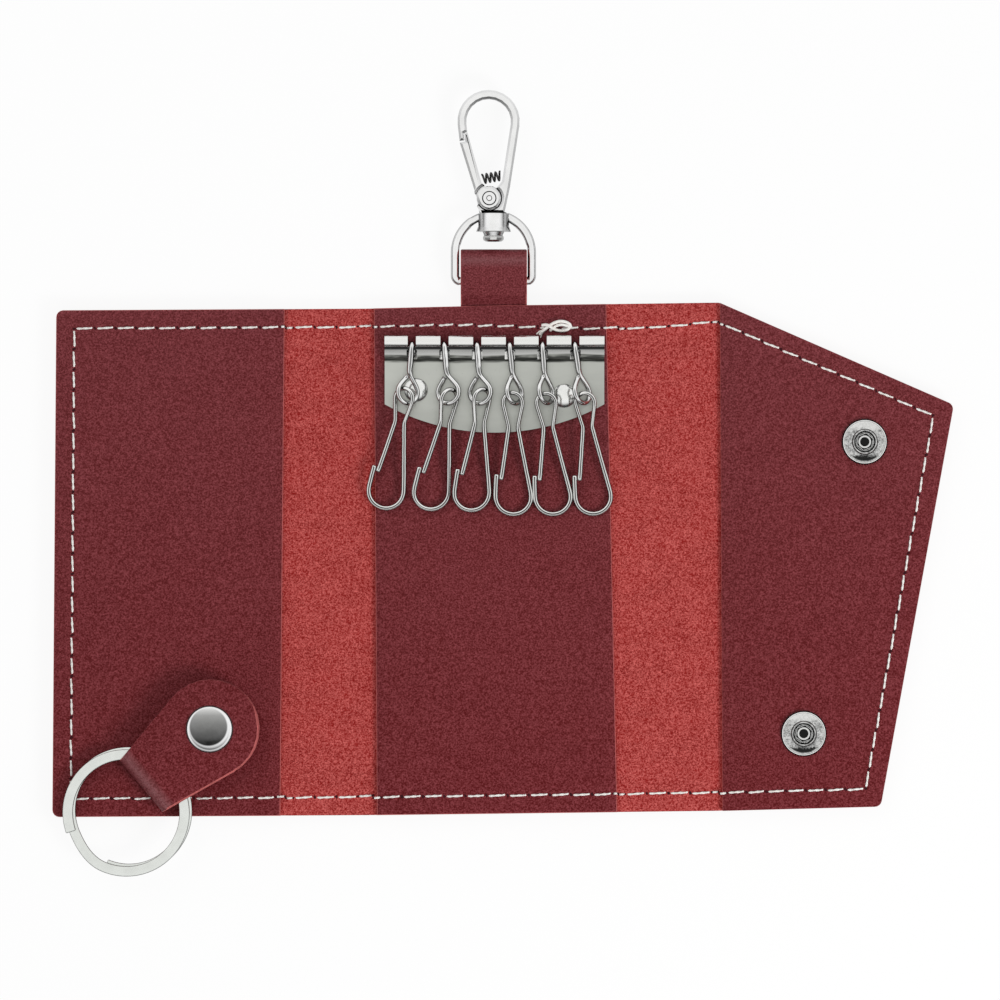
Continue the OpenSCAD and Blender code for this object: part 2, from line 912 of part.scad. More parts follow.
// Split ring: two flat coils with a groove between them, the upper one cut where its end lies
module split_ring() {
  mid_r = (split_ring_d - band_w) / 2;
  w = band_w / 2;
  h = band_h / 2;
  e = band_edge;
  color(nickel)
    in_tab()
      translate([droop_u, 0, tab_mid])
        rotate([0, droop_turn, 0])
          translate([split_ring_u - droop_u, split_ring_v, 0])
            difference() {
              rotate_extrude($fn = ring_fn)
                translate([mid_r, 0])
                  polygon([
                    [e - w, -h], [w - e, -h], [w, e - h], [w, -e], [w - e, 0], [w, e], [w, h - e],
                    [w - e, h], [e - w, h], [-w, h - e], [-w, e], [e - w, 0], [-w, -e], [-w, e - h]
                  ]);
              rotate([0, 0, split_turn])
                translate([mid_r - band_w, -split_w / 2, 0])
                  cube([2 * band_w, split_w, band_h]);
            }
}

// D-ring with the boss that the clasp turns in
module dee_ring() {
  x = dee_centre[0];
  leg = dee_r - dee_corner_r;
  corner_y = dee_bar_y + dee_corner_r;
  color(nickel)
    translate([0, edge_high, dee_z])
      difference() {
        union() {
          bend(dee_centre, dee_r, 0, 180, dee_wire_d);
          bend([x - leg, corner_y], dee_corner_r, 180, 270, dee_wire_d);
          bend([x + leg, corner_y], dee_corner_r, 270, 360, dee_wire_d);
          for (s = [-1, 1])
            rod([x + s * dee_r, corner_y, 0], [x + s * dee_r, dee_centre[1], 0], dee_wire_d);
          rod([x - leg, dee_bar_y, 0], [x + leg, dee_bar_y, 0], dee_wire_d);
          translate([x, boss_top, 0])
            rotate([90, 0, 0])
              cylinder(d = boss_d, h = boss_top - boss_waist, $fn = round_fn);
          translate([x, boss_waist, 0])
            rotate([90, 0, 0])
              cylinder(d1 = boss_d, d2 = boss_flare_d, h = boss_waist - boss_low, $fn = round_fn);
        }
        translate([x, boss_top + over, 0])
          rotate([90, 0, 0])
            cylinder(d = post_d + 2 * fit, h = boss_top - boss_low + 2 * over, $fn = round_fn);
        translate([x - dee_r, boss_top, -dee_wire_d])
          cube([2 * dee_r, dee_wire_d, 2 * dee_wire_d]);
      }
}

// Clasp: an eye bar that ends in a hooked nose, on a base with a cheek for the gate's pivot

function right_leg(r, s) =
  on_circle(eye_c, r, -lean_right) - s * [sin(lean_right), cos(lean_right)];
function left_leg(r, s) =
  on_circle(eye_c, r, 180 + lean_left) + s * [sin(lean_left), -cos(lean_left)];

function clasp_outline() =
  let (inner_r = eye_r - clasp_bar_w)
  concat(
    [[base_x[0], base_y], [base_x[1], base_y], right_leg(eye_r, right_leg_l)],
    arc(eye_c, eye_r, -lean_right, 180 + lean_left, 14),
    [left_leg(eye_r, nose_l), left_leg(eye_r - nose_step, nose_l - fit),
      left_leg(eye_r - nose_step, nose_notch_l), left_leg(inner_r, nose_inner_l)],
    arc(eye_c, inner_r, 180 + lean_left, -lean_right, 12),
    [right_leg(inner_r, inner_leg_l)],
    arc(pivot, cheek_r, cheek_from, cheek_to, 8)
  );

module clasp_body() {
  x = dee_centre[0];
  post_low = boss_low - post_gap;
  color(nickel)
    translate([0, edge_high, dee_z])
      difference() {
        union() {
          translate([0, 0, -clasp_t / 2])
            linear_extrude(clasp_t)
              polygon(clasp_outline());
          translate([x, base_y + over, 0])
            rotate([90, 0, 0])
              cylinder(d = post_d, h = base_y + over - post_low, $fn = round_fn);
          translate([x, post_low, 0])
            rotate([90, 0, 0])
              cylinder(d1 = post_head_d, d2 = post_d, h = post_low - post_head_low, $fn = round_fn);
        }
        translate([pivot[0], pivot[1], cheek_t - clasp_t / 2])
          cylinder(r = pocket_r, h = clasp_t, $fn = round_fn);
        translate([pivot[0], pivot[1], -clasp_t])
          cylinder(d = pin_d + fit, h = 2 * clasp_t, $fn = round_fn);
      }
}

module clasp_rivet() {
  head_z = gate_top + fit;
  tail_z = -clasp_t / 2;
  color(steel)
    translate([pivot[0], edge_high + pivot[1], dee_z])
      rotate_extrude($fn = round_fn)
        polygon([
          [0, tail_z - pin_d / 6], [pin_d * 0.8, tail_z - pin_d / 6], [pin_d * 0.8, tail_z],
          [pin_d / 2, tail_z], [pin_d / 2, head_z], [pin_d, head_z], [pin_d, head_z + pin_d / 6],
          [pin_d * 0.8, head_z + pin_d / 4], [pin_d * 0.3, head_z + pin_d / 4], [0, head_z + pin_d / 8]
        ]);
}

// Gate: a round head on the pivot, and a bar that closes the eye against the nose
function gate_outline() =
  let (
    heel = left_leg(eye_r, nose_l + 8 * fit),
    start = tangent_at(pivot, gate_head_r, heel, 1),
    step = eye_r - nose_step - 3 * fit
  )
  concat(
    arc(pivot, gate_head_r, start, gate_head_end, 14),
    [gate_seat, left_leg(eye_r - clasp_bar_w, nose_inner_l + 4 * fit),
      left_leg(step, nose_notch_l + 3 * fit), left_leg(step, nose_l + 6 * fit), heel]
  );

module gate() {
  color(nickel)
    translate([0, edge_high, dee_z])
      difference() {
        union() {
          translate([0, 0, gate_low])
            linear_extrude(gate_top - gate_low)
              polygon(gate_outline());
          difference() {
            translate([0, 0, -clasp_t / 2])
              linear_extrude(clasp_t)
                polygon(gate_outline());
            translate([pivot[0], pivot[1], -clasp_t])
              cylinder(r = cheek_r + loose, h = 2 * clasp_t, $fn = round_fn);
          }
        }
        translate([pivot[0], pivot[1], -clasp_t])
          cylinder(d = pin_d + 2 * fit, h = 2 * clasp_t, $fn = round_fn);
      }
}

// Coil spring between the gate and the clasp's leg: one tube along a helix
module gate_spring() {
  color(steel)
    from_upper_edge()
      wire(coil_points, gate_spring_wire_d / 2, gate_spring_sides, coil_side);
}

// Key link, one bent wire: it winds round its bar, runs out as a stem and closes a teardrop eye
// that is turned about the stem
function turned(p, turn) = [p[0] * cos(turn), p[1], -p[0] * sin(turn)];

function link_path(turn) =
  let (
    mid = [0, -eye_mid],
    side = tangent_at(mid, link_eye_r, [0, -eye_tip], -1),
    round_eye = arc(mid, link_eye_r, side, -180 - side, eye_steps),
    last = round_eye[eye_steps],
    open_end = last + unit([0, -eye_tip] - last) * (norm([0, -eye_tip] - last) - link_gap)
  )
  concat(
    [for (p = arc([0, 0], loop_r, loop_start, 90, loop_steps)) [0, p[0], p[1]]],
    [[0, -eye_tip, 0]],
    [for (p = round_eye) turned(p, turn)],
    [turned(open_end, turn)]
  );

module link(i) {
  color(nickel)
    translate([link_x[i], edge_high + bar_y, bar_z])
      rotate([-link_lift[i], 0, 0])
        rotate([0, 0, link_lean[i]])
          wire(link_path(link_turn[i]), link_wire_d / 2, wire_sides, [1, 0, 0]);
}

// Key hook, one spring wire: a short leg, the head, the long leg and the bow, whose free end
// lies outside the short leg
function hook_path(twist) =
  let (
    head_side = tangent_at([0, 0], head_r, neck, 1),
    bow_side = tangent_at(bow_c, bow_r, neck, -1),
    free_side = tangent_at(bow_c, bow_r, free_end, 1)
  )
  concat(
    [flat(leg_end), [-neck[0], neck[1], 0]],
    [for (p = arc([0, 0], head_r, 180 - head_side, head_side, head_steps)) turned(p, twist)],
    [flat(neck)],
    [for (p = arc(bow_c, bow_r, bow_side, free_side - 360, bow_steps)) flat(p)],
    [flat(free_end)]
  );

module hook(i) {
  lying = hook_head[i][2] - hook_rest_z - abs(sin(hook_roll[i])) * hook_half_w;
  color(steel)
    translate([0, edge_high, 0] + hook_head[i])
      rotate([asin(lying / hook_length), 0, hook_lean[i]])
        rotate([0, hook_roll[i], 0])
          wire(hook_path(head_twist[i]), hook_wire_d / 2, wire_sides, [0, 0, 1]);
}

module link_1() { link(0); }
module link_2() { link(1); }
module link_3() { link(2); }
module link_4() { link(3); }
module link_5() { link(4); }
module link_6() { link(5); }

module hook_1() { hook(0); }
module hook_2() { hook(1); }
module hook_3() { hook(2); }
module hook_4() { hook(3); }
module hook_5() { hook(4); }
module hook_6() { hook(5); }

cover_middle();
panel_middle();
stitching_middle();
key_plate();
plate_rivet_left();
plate_rivet_right();
strap();
cover_left_strip();
stitching_left_strip();
cover_left();
panel_left();
stitching_left();
stud_upper();
stud_lower();
tab_stud();
cover_right_strip();
stitching_right_strip();
cover_right();
panel_right();
stitching_right();
cap_upper();
cap_lower();
socket_upper();
socket_lower();
spring_upper();
spring_lower();
tab();
tab_cap();
tab_socket();
tab_spring();
split_ring();
dee_ring();
clasp_body();
clasp_rivet();
gate_spring();
gate();
link_1();
link_2();
link_3();
link_4();
link_5();
link_6();
hook_1();
hook_2();
hook_3();
hook_4();
hook_5();
hook_6();
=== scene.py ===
"""Open leather key case: hide, panels, seam, key plate, hooks, snaps, tab, rings and clasp."""

import json
import math
import random

import bmesh
import bpy
from mathutils import Matrix, Vector

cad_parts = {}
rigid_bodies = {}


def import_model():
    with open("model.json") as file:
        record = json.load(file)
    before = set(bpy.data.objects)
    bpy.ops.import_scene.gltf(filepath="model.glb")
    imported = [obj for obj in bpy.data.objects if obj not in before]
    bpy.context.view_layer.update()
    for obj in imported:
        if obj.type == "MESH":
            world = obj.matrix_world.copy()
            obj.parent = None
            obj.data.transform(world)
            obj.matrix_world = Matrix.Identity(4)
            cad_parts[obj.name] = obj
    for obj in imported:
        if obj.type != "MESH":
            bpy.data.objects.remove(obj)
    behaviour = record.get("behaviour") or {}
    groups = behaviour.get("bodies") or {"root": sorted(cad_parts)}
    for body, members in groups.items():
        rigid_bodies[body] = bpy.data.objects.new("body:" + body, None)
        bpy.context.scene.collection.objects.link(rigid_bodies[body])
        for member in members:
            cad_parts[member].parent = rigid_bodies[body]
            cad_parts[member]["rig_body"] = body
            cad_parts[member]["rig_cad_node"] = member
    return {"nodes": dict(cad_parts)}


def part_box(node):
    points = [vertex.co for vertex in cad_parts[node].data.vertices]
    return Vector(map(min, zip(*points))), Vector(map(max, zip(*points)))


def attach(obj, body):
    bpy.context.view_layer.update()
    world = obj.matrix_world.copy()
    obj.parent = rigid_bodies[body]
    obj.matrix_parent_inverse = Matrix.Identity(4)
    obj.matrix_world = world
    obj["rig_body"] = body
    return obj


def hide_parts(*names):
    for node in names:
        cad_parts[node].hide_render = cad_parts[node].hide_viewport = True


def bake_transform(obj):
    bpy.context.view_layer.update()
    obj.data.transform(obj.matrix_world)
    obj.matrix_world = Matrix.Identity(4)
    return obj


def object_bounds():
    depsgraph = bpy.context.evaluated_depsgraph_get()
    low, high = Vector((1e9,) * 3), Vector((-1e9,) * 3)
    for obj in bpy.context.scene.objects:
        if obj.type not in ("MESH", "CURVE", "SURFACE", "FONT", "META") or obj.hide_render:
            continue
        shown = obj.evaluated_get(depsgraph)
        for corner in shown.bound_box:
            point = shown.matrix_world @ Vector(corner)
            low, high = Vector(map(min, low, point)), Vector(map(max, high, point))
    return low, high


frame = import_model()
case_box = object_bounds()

bl_info = {
    "name": "Leather key case",
    "version": (1, 0, 0),
    "blender": (4, 5, 0),
    "location": "View3D > Sidebar > Key case",
    "description": "Models and finishes an open leather key case around its packed frame",
    "category": "Add Mesh",
}

MM = 0.001
SAME = 0.01 * MM  # points nearer than this are one
FLAT = math.radians(0.3)  # faces that turn less than this are one
UP = Vector((0, 0, 1))
X_AXIS = Vector((1, 0, 0))
Y_AXIS = Vector((0, 1, 0))
VIEW = 1000  # pixels across the view
ORIGIN_X, ORIGIN_Y = 494.5, 561  # the pixel at which the view shows the frame's origin
SENSOR = 36  # width of the camera's sensor, in its own millimetres
TAB_TURN = math.radians(220)  # from the X axis to the tab's fold
LINK_WIRE, HOOK_WIRE, COIL_WIRE = 1.1 * MM, 1.0 * MM, 0.4 * MM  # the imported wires' thickness
OUTSIDE = 1  # X that lies past the case on either side
STRETCHES = [("left", "left_strip"), ("left_strip", "middle"),
             ("middle", "right_strip"), ("right_strip", "right")]


def colour(name, description, default):
    return bpy.props.FloatVectorProperty(
        name=name, description=description, subtype="COLOR", size=3, min=0, max=1, default=default)


def length(name, description, default):
    return bpy.props.FloatProperty(
        name=name, description=description, unit="LENGTH", precision=5, default=default)


class LeatherSettings(bpy.types.PropertyGroup):
    grain: colour("Grain", "Colour of the smooth side", (0.142, 0.017, 0.021))
    pore: colour("Pores", "Colour deep in the smooth side's pores", (0.082, 0.004, 0.005))
    suede: colour("Suede", "Colour of the rough side", (0.44, 0.060, 0.052))
    nap_shade: colour("Nap shade", "Colour between the rough side's tufts", (0.225, 0.008, 0.007))
    raw: colour("Raw edge", "Colour of the cut fibres", (0.60, 0.20, 0.19))
    # This pale colour is wear along the tab's fold, and painted sheen on the strap's loop.
    crease: colour("Crease", "Colour of the smooth side where it is bent and worn", (0.25, 0.105, 0.112))
    cut: colour("Cut side", "Colour of the leather's cut side", (0.50, 0.125, 0.12))
    # This grey is painted sheen: mixed into the smooth side more towards the top of the case, and a little
    # into the pale grain tops as small painted highlights.
    haze: colour("Haze", "Colour of the dull bloom on the smooth side", (0.42, 0.40, 0.44))
    edge_round: length("Edge rounding", "Radius of a cut edge", 0.28 * MM)
    pared: length("Pared edge", "Width of the slant at the tab's lower edge", 0.42 * MM)
    wave: length("Waves", "Height of the soft waves in the leather", 0.22 * MM)
    wave_size: length("Wave size", "Width of one soft wave", 34 * MM)
    grid: length("Grid", "Spacing of the cuts that let the leather bend", 4 * MM)
    fold_grid: length("Fold grid", "Spacing of the cuts at a fold", 0.5 * MM)
    fold_under: length("Fold under a panel", "Reach of a bend beneath the panel", 5 * MM)
    fold_out: length("Fold outside", "Reach of a bend on its other side", 1.5 * MM)


class ThreadSettings(bpy.types.PropertyGroup):
    white: colour("Thread", "Colour of the sewing thread", (0.98, 0.91, 0.85))
    # This near-black is painted shade inside a needle hole.
    hole: colour("Needle hole", "Colour inside a needle hole", (0.035, 0.008, 0.010))
    width: length("Width", "Width of the thread", 0.58 * MM)
    height: length("Height", "Height of a stitch over the leather", 0.26 * MM)
    sink: length("Sink", "Depth of a stitch's ends in the leather", 0.35 * MM)
    overlap: length("Overlap", "How much longer a stitch shows than its place", 0.12 * MM)
    hole_size: length("Needle hole", "Diameter of a needle hole", 0.62 * MM)
    gap: length("Gap", "Room between two stitches at the end of a row", 0.45 * MM)
    sag: length("Dip", "How far the upper row dips between the plate and the flap", 1.45 * MM)
    loop: length("Knot's thread", "Width of the thread in the loose knot", 0.72 * MM)


class MetalSettings(bpy.types.PropertyGroup):
    nickel: colour("Nickel", "Colour of the polished nickel", (0.84, 0.84, 0.82))
    # The sheet's darker grey beside the bright nickel of the knuckles is painted reflection on one metal.
    sheet: colour("Sheet", "Colour of the flat nickel sheet", (0.50, 0.51, 0.475))
    wire: colour("Hook wire", "Colour of the hooks' spring wire", (0.86, 0.86, 0.84))
    bright_wire: colour("Link wire", "Colour of the links' wire", (0.86, 0.86, 0.85))
    chrome: colour("Bright plating", "Colour of the rings and the clasp", (0.88, 0.88, 0.88))
    snap: colour("Snaps", "Colour of the snaps", (0.70, 0.70, 0.69))
    satin: colour("Satin plating", "Colour of the split ring", (0.76, 0.78, 0.75))
    steel: colour("Spring steel", "Colour of the small springs", (0.07, 0.068, 0.066))
    # This near-black is painted: shade in gaps, holes and contact rings, and a dark reflection line on the
    # plate's knuckles.
    gap: colour("Gaps", "Colour of the metal in narrow gaps", (0.02, 0.02, 0.02))
    plate_bevel: length("Plate edge", "Rounding of the plate's edges", 0.21 * MM)
    knuckle: length("Knuckles", "Height of the plate's rolled knuckles", 2.98 * MM)
    shelf: length("Shelf", "From the plate's top to the shelf's lower edge", 4.45 * MM)
    rolled: length("Shelf's foot", "From the plate's top to the foot of its shelf", 6.0 * MM)
    rivet: length("Rivet", "Height of a rivet's dome", 0.95 * MM)
    tail: length("Tail", "Height of the sheet's turned tail under the shelf", 2.8 * MM)
    tail_sheet: length("Tail sheet", "Thickness of the turned tail", 0.18 * MM)
    stem: length("Stem", "How much thicker a link's stem is than its eye", 0.42 * MM)
    stem_from: length("Stem's start", "Where the stem starts, from the link's upper end", 1.9 * MM)
    stem_to: length("Stem's end", "Where the stem ends, from the link's upper end", 6.8 * MM)
    chamfer: length("Clasp edge", "Width of the slant round the clasp's flat sides", 0.50 * MM)
    chamfer_least: bpy.props.FloatProperty(name="Least flat", description="Smallest flat that is pared",
                                           unit="AREA", precision=7, default=5 * MM * MM)
    chamfer_depth: length("Clasp edge depth", "Depth of that slant", 0.34 * MM)
    boss: length("Boss", "Width of the D-ring's boss with its flare", 8.2 * MM)
    dee_swell: length("D-ring", "How much thicker the D-ring's bow is than its bar", 0.24 * MM)
    head: length("Post head", "Diameter of the head at the end of the clasp's post", 4.8 * MM)
    head_length: length("Head length", "Length of the post's head", 2.4 * MM)
    coil_swell: length("Coil", "How much thicker the gate's spring looks than its core", 0.16 * MM)
    washer: length("Washer", "Thickness of the washer over the boss", 0.26 * MM)
    washer_width: length("Washer width", "Width of the washer over the boss", 6.0 * MM)
    pivot_line: length("Pivot ring", "Thickness of the dark ring round the gate's rivet", 0.32 * MM)
    eyelet: length("Rolled end", "Width of the rolled end of a cap's shank", 0.38 * MM)
    snap_ring: length("Snap ring", "Width of the bent wire in a socket's mouth", 4.05 * MM)
    snap_wire: length("Snap wire", "Thickness of the bent wire in a socket's mouth", 0.26 * MM)
    cap_rim: length("Cap rim", "Height of a cap's rim", 0.62 * MM)
    teeth: bpy.props.IntProperty(name="Teeth", description="Teeth of a socket's milled rim", default=52)
    band: length("Band", "Width of the split ring's band", 2.35 * MM)
    band_round: length("Band rounding", "Rounding of the split ring's band", 0.26 * MM)
    band_depth: length("Band depth", "Thickness of one coil of the split ring", 0.92 * MM)
    coil_shift: length("Coil shift", "How far each coil of the split ring lies off its middle", 0.36 * MM)
    neck: length("Hook's neck", "Where a hook's legs start, from its upper end", 8.8 * MM)
    eye_reach: length("Eye's end", "How far a link's free end reaches to its stem", 0.8 * MM)
    hook_legs: length("Hook legs", "How much thicker a hook's legs are than its eye", 0.16 * MM)


class StageSettings(bpy.types.PropertyGroup):
    pixel: length("Pixel", "Real width of one pixel of the view", 0.23 * MM)
    camera_height: length("Camera height", "Height of the camera over the case", 1.5)
    floor_size: length("Floor", "Width of the floor", 3)
    white: colour("Floor", "Colour of the floor", (0.93, 0.93, 0.93))


def settings(name):
    return getattr(bpy.context.scene, "key_case_" + name)


# Shader maths


class Field:
    """A value that varies over a surface: an expression on it adds the nodes that work it out."""

    def __init__(self, finish, socket):
        self.finish = finish
        self.socket = socket

    def maths(self, operation, a, b=None):
        values = {0: a} if b is None else {0: a, 1: b}
        return self.finish.add("ShaderNodeMath", {"operation": operation}, values)

    def __add__(self, other):
        return self.maths("ADD", self, other)

    def __sub__(self, other):
        return self.maths("SUBTRACT", self, other)

    def __mul__(self, other):
        return self.maths("MULTIPLY", self, other)

    def __truediv__(self, other):
        return self.maths("DIVIDE", self, other)

    def __rsub__(self, other):
        return self.maths("SUBTRACT", other, self)

    def __rtruediv__(self, other):
        return self.maths("DIVIDE", other, self)

    __radd__ = __add__
    __rmul__ = __mul__


class Finish:
    """A material under construction, with one method that adds any node."""

    def __init__(self, name, tree=None):
        if tree is None:
            self.material = bpy.data.materials.new(name)
            self.material.use_nodes = True
            tree = self.material.node_tree
        self.tree = tree

    def add(self, kind, options=None, values=None, output=0):
        """Adds a node of a kind with its options and inputs, and gives one of its outputs."""
        node = self.tree.nodes.new(kind)
        for name, value in (options or {}).items():
            if name == "stops":
                self.set_stops(node.color_ramp, value)
            else:
                setattr(node, name, value)
        for name, value in (values or {}).items():
            self.feed(node.inputs[name], value)
        return Field(self, node.outputs[output])

    def set_stops(self, ramp, stops):
        while len(ramp.elements) < len(stops):
            ramp.elements.new(1)
        for element, (place, value) in zip(ramp.elements, stops):
            element.position = place
            element.color = value if len(value) == 4 else (*value, 1)

    def feed(self, socket, value):
        if isinstance(value, Field):
            self.tree.links.new(value.socket, socket)
        elif hasattr(socket.default_value, "__len__") and len(socket.default_value) == 4:
            socket.default_value = (*value, 1)
        else:
            socket.default_value = value

    def surface(self, **values):
        """Sets the sockets of the main shader."""
        shader = self.tree.nodes["Principled BSDF"]
        for name, value in values.items():
            self.feed(shader.inputs[name.replace("_", " ")], value)
        return self.material

    def place(self, attribute=None):
        """Where a point of the surface lies on the piece at rest."""
        if attribute:
            return self.add("ShaderNodeAttribute", {"attribute_name": attribute}, output=1)
        return self.add("ShaderNodeTexCoord", output=3)

    def noise(self, place, size, detail=2.0, rough=0.5, twist=0.0):
        """Soft noise from 0 to 1 with features of that size in metres."""
        return self.add("ShaderNodeTexNoise", {}, {
            "Vector": place, "Scale": 1 / size, "Detail": detail, "Roughness": rough,
            "Distortion": twist})

    def cells(self, place, size):
        """Distance to the nearest point of a scatter, soft where two points are as near."""
        return self.add("ShaderNodeTexVoronoi", {"feature": "SMOOTH_F1"},
                        {"Vector": place, "Scale": 1 / size})

    def part(self, vector, axis):
        """One part of a vector, 0 for X, 1 for Y and 2 for Z."""
        return self.add("ShaderNodeSeparateXYZ", {}, {"Vector": vector}, output=axis)

    def reach(self, vector):
        """Length of a vector."""
        return self.add("ShaderNodeVectorMath", {"operation": "LENGTH"}, {0: vector}, output=1)

    def steepness(self, level, upright):
        """0 where the surface lies level or tips as far as that, 1 where it stands upright."""
        up = self.part(self.add("ShaderNodeTexCoord", output=1), 2)
        return 1 - self.between(up.maths("ABSOLUTE", up), upright, level)

    def along(self, place, direction):
        """How far a point lies along a direction, in metres."""
        return self.add("ShaderNodeVectorMath", {"operation": "DOT_PRODUCT"},
                        {0: place, 1: direction}, output=1)

    def stripe(self, value, middle, width):
        """1 on a line where the value is at the middle, fading to 0 at half the width beside it."""
        apart = value - middle
        return 1 - self.between(apart.maths("ABSOLUTE", apart), 0.0, width / 2)

    def stretched(self, place, turn, scale):
        """The place, turned by an angle and scaled along X, Y and Z."""
        return self.add("ShaderNodeMapping", {}, {
            "Vector": place, "Rotation": (0, 0, turn), "Scale": scale})

    def height_up(self, place):
        """How far up the case a point lies, in decimetres."""
        return self.part(place, 1) * 10.0

    def between(self, value, low, high):
        """0 where the value is at low or under, 1 at high or over."""
        return self.add("ShaderNodeMapRange", {"clamp": True}, {
            "Value": value, "From Min": low, "From Max": high})

    def mix(self, share, a, b):
        """Colour a where the share is 0 and colour b where it is 1."""
        return self.add("ShaderNodeMix", {"data_type": "RGBA"}, {0: share, 6: a, 7: b}, output=2)

    def bump(self, height, depth):
        """Normals of a surface that rises by that depth in metres where the height is 1."""
        return self.add("ShaderNodeBump", {}, {"Height": height, "Distance": depth, "Strength": 1.0})


def tinted(colour, factor):
    return tuple(min(1, channel * factor) for channel in colour)


def blended(colour, other, share, factor=1):
    """One colour, made lighter or darker by a factor, with a share of another in it."""
    return tuple(min(1, a * factor * (1 - share) + b * share) for a, b in zip(colour, other))


def finish_named(name, make):
    """The material of that name, made the first time it is asked for."""
    return bpy.data.materials.get(name) or make(Finish(name))


def grained(finish, direction=None, middle=0.0, width=1.0, wear_and_sheen=0.0):
    """Smooth dyed leather: fine pores with pale tops, creases, soft clouds, a painted sheen that grows
    towards the top of the case, and maybe a pale stripe, worn on the tab and painted sheen on the strap.
    """
    look = settings("leather")
    place = finish.place("rest")
    pebbles = finish.cells(place, 0.95 * MM)
    creases = finish.noise(finish.stretched(place, 0.5, (1, 1.9, 1)), 1.3 * MM, 4, 0.66, 1.1)
    pores = finish.noise(place, 0.36 * MM, 2, 0.6, 0.3)
    cloud = finish.noise(finish.stretched(place, 0.7, (1, 1.8, 1)), 30 * MM, 3, 0.6)
    patch = finish.noise(place, 6 * MM, 3, 0.6)
    # The tone also grows towards the top of the case: painted light, lighter above.
    tone = cloud * 0.45 + patch * 0.25 + finish.height_up(place) * 0.12
    # The pale pore tops take a little of the painted sheen grey: small painted highlights on the grain.
    tops = finish.between(pores * 0.90 + creases * 0.16 - pebbles * 0.06, 0.40, 0.70)
    low = finish.mix(finish.between(tone, 0.15, 0.55), look.pore, tinted(look.pore, 1.25))
    high = finish.mix(finish.between(tone, 0.15, 0.55), blended(look.grain, look.haze, 0.045, 1.62),
                      blended(look.grain, look.haze, 0.066, 1.80))
    base = finish.mix(tops, low, high)
    # Painted sheen: a grey mixed in more towards the top of the case, as if lit from above.
    haze = finish.between(finish.height_up(place) + cloud * 0.5, -0.30, 0.95)
    base = finish.mix(haze * 0.022, base, look.haze)
    if direction:
        # A pale stripe along a line: wear on the tab, painted sheen on the strap.
        worn = finish.stripe(finish.along(place, direction), middle, width)
        base = finish.mix(worn * finish.between(creases + pores, 0.5, 1.3) * wear_and_sheen, base, look.crease)
    height = creases * 0.45 + pores * 0.34 - pebbles * 0.25
    return finish.surface(
        Base_Color=base, Roughness=finish.between(creases + patch, 0.6, 1.5) * 0.16 + 0.40,
        Normal=finish.bump(height, 0.16 * MM), Specular_IOR_Level=0.10)


def grain_leather(finish):
    return grained(finish)


def strap_grain(finish):
    """The strap's leather, creased, with a pale stripe of painted sheen a little below the top of its loop.
    """
    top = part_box("strap")[1].y
    return grained(finish, Y_AXIS, middle=top - 2.6 * MM, width=3.4 * MM, wear_and_sheen=0.75)


def tab_grain(finish):
    """The tab's leather, worn pale along the fold round the ring."""
    fold = tab_axis()
    reach = fold.dot(middle_of("tab_cap")) + 18.9 * MM
    return grained(finish, fold, middle=reach, width=4.2 * MM, wear_and_sheen=1.0)


def suede_leather(finish):
    """The rough side: short nap in tiny light and dark tufts, with longer strokes across it."""
    look = settings("leather")
    place = finish.place("rest")
    fibres = finish.noise(place, 0.34 * MM, 2, 0.7, 0.3)
    clumps = finish.noise(place, 1.2 * MM, 3, 0.7, 0.6)
    nap = finish.noise(finish.stretched(place, 0.9, (1, 1.9, 1)), 12 * MM, 3, 0.6)
    tufts = finish.between(fibres * 0.88 + clumps * 0.12, 0.40, 0.66)
    low = finish.mix(finish.between(nap, 0.3, 0.7), look.nap_shade, tinted(look.nap_shade, 1.3))
    high = finish.mix(finish.between(nap, 0.3, 0.7), blended(look.suede, look.raw, 0.36, 1.54),
                      blended(look.suede, look.raw, 0.46, 1.74))
    base = finish.mix(tufts, low, high)
    height = fibres * 0.8 + clumps * 0.4
    return finish.surface(
        Base_Color=base, Roughness=0.92, Specular_IOR_Level=0.12, Sheen_Weight=0.10,
        Sheen_Roughness=0.5, Normal=finish.bump(height, 0.30 * MM))


def raw_edge(finish):
    """The cut side of the leather: pale packed fibres."""
    look = settings("leather")
    place = finish.place("rest")
    fibres = finish.noise(finish.stretched(place, 0, (1, 1, 2.4)), 0.5 * MM, 4, 0.7)
    shade = finish.noise(place, 7 * MM, 3, 0.6)
    base = finish.mix(finish.between(fibres * 0.7 + shade * 0.5, 0.40, 0.72),
                      tinted(look.cut, 0.55), tinted(look.cut, 1.15))
    return finish.surface(
        Base_Color=base, Roughness=0.85, Specular_IOR_Level=0.25,
        Normal=finish.bump(fibres, 0.20 * MM))


def sewing_thread(finish):
    look = settings("thread")
    place = finish.place()
    fluff = finish.noise(place, 0.22 * MM, 3, 0.7)
    tone = finish.noise(place, 3 * MM, 2, 0.5)
    base = finish.mix(finish.between(fluff * 0.7 + tone * 0.5, 0.40, 0.80),
                      tinted(look.white, 0.86), tinted(look.white, 1.15))
    return finish.surface(Base_Color=base, Roughness=0.75, Specular_IOR_Level=0.3,
                          Normal=finish.bump(fluff, 0.06 * MM))


# Painted shade: a near-black disc where a needle hole lies in shadow.
def needle_hole(finish):
    place = finish.place()
    fluff = finish.noise(place, 0.2 * MM, 2, 0.6)
    hole = settings("thread").hole
    return finish.surface(Base_Color=finish.mix(fluff, tinted(hole, 0.6), tinted(hole, 1.6)),
                          Roughness=0.95, Specular_IOR_Level=0.1)


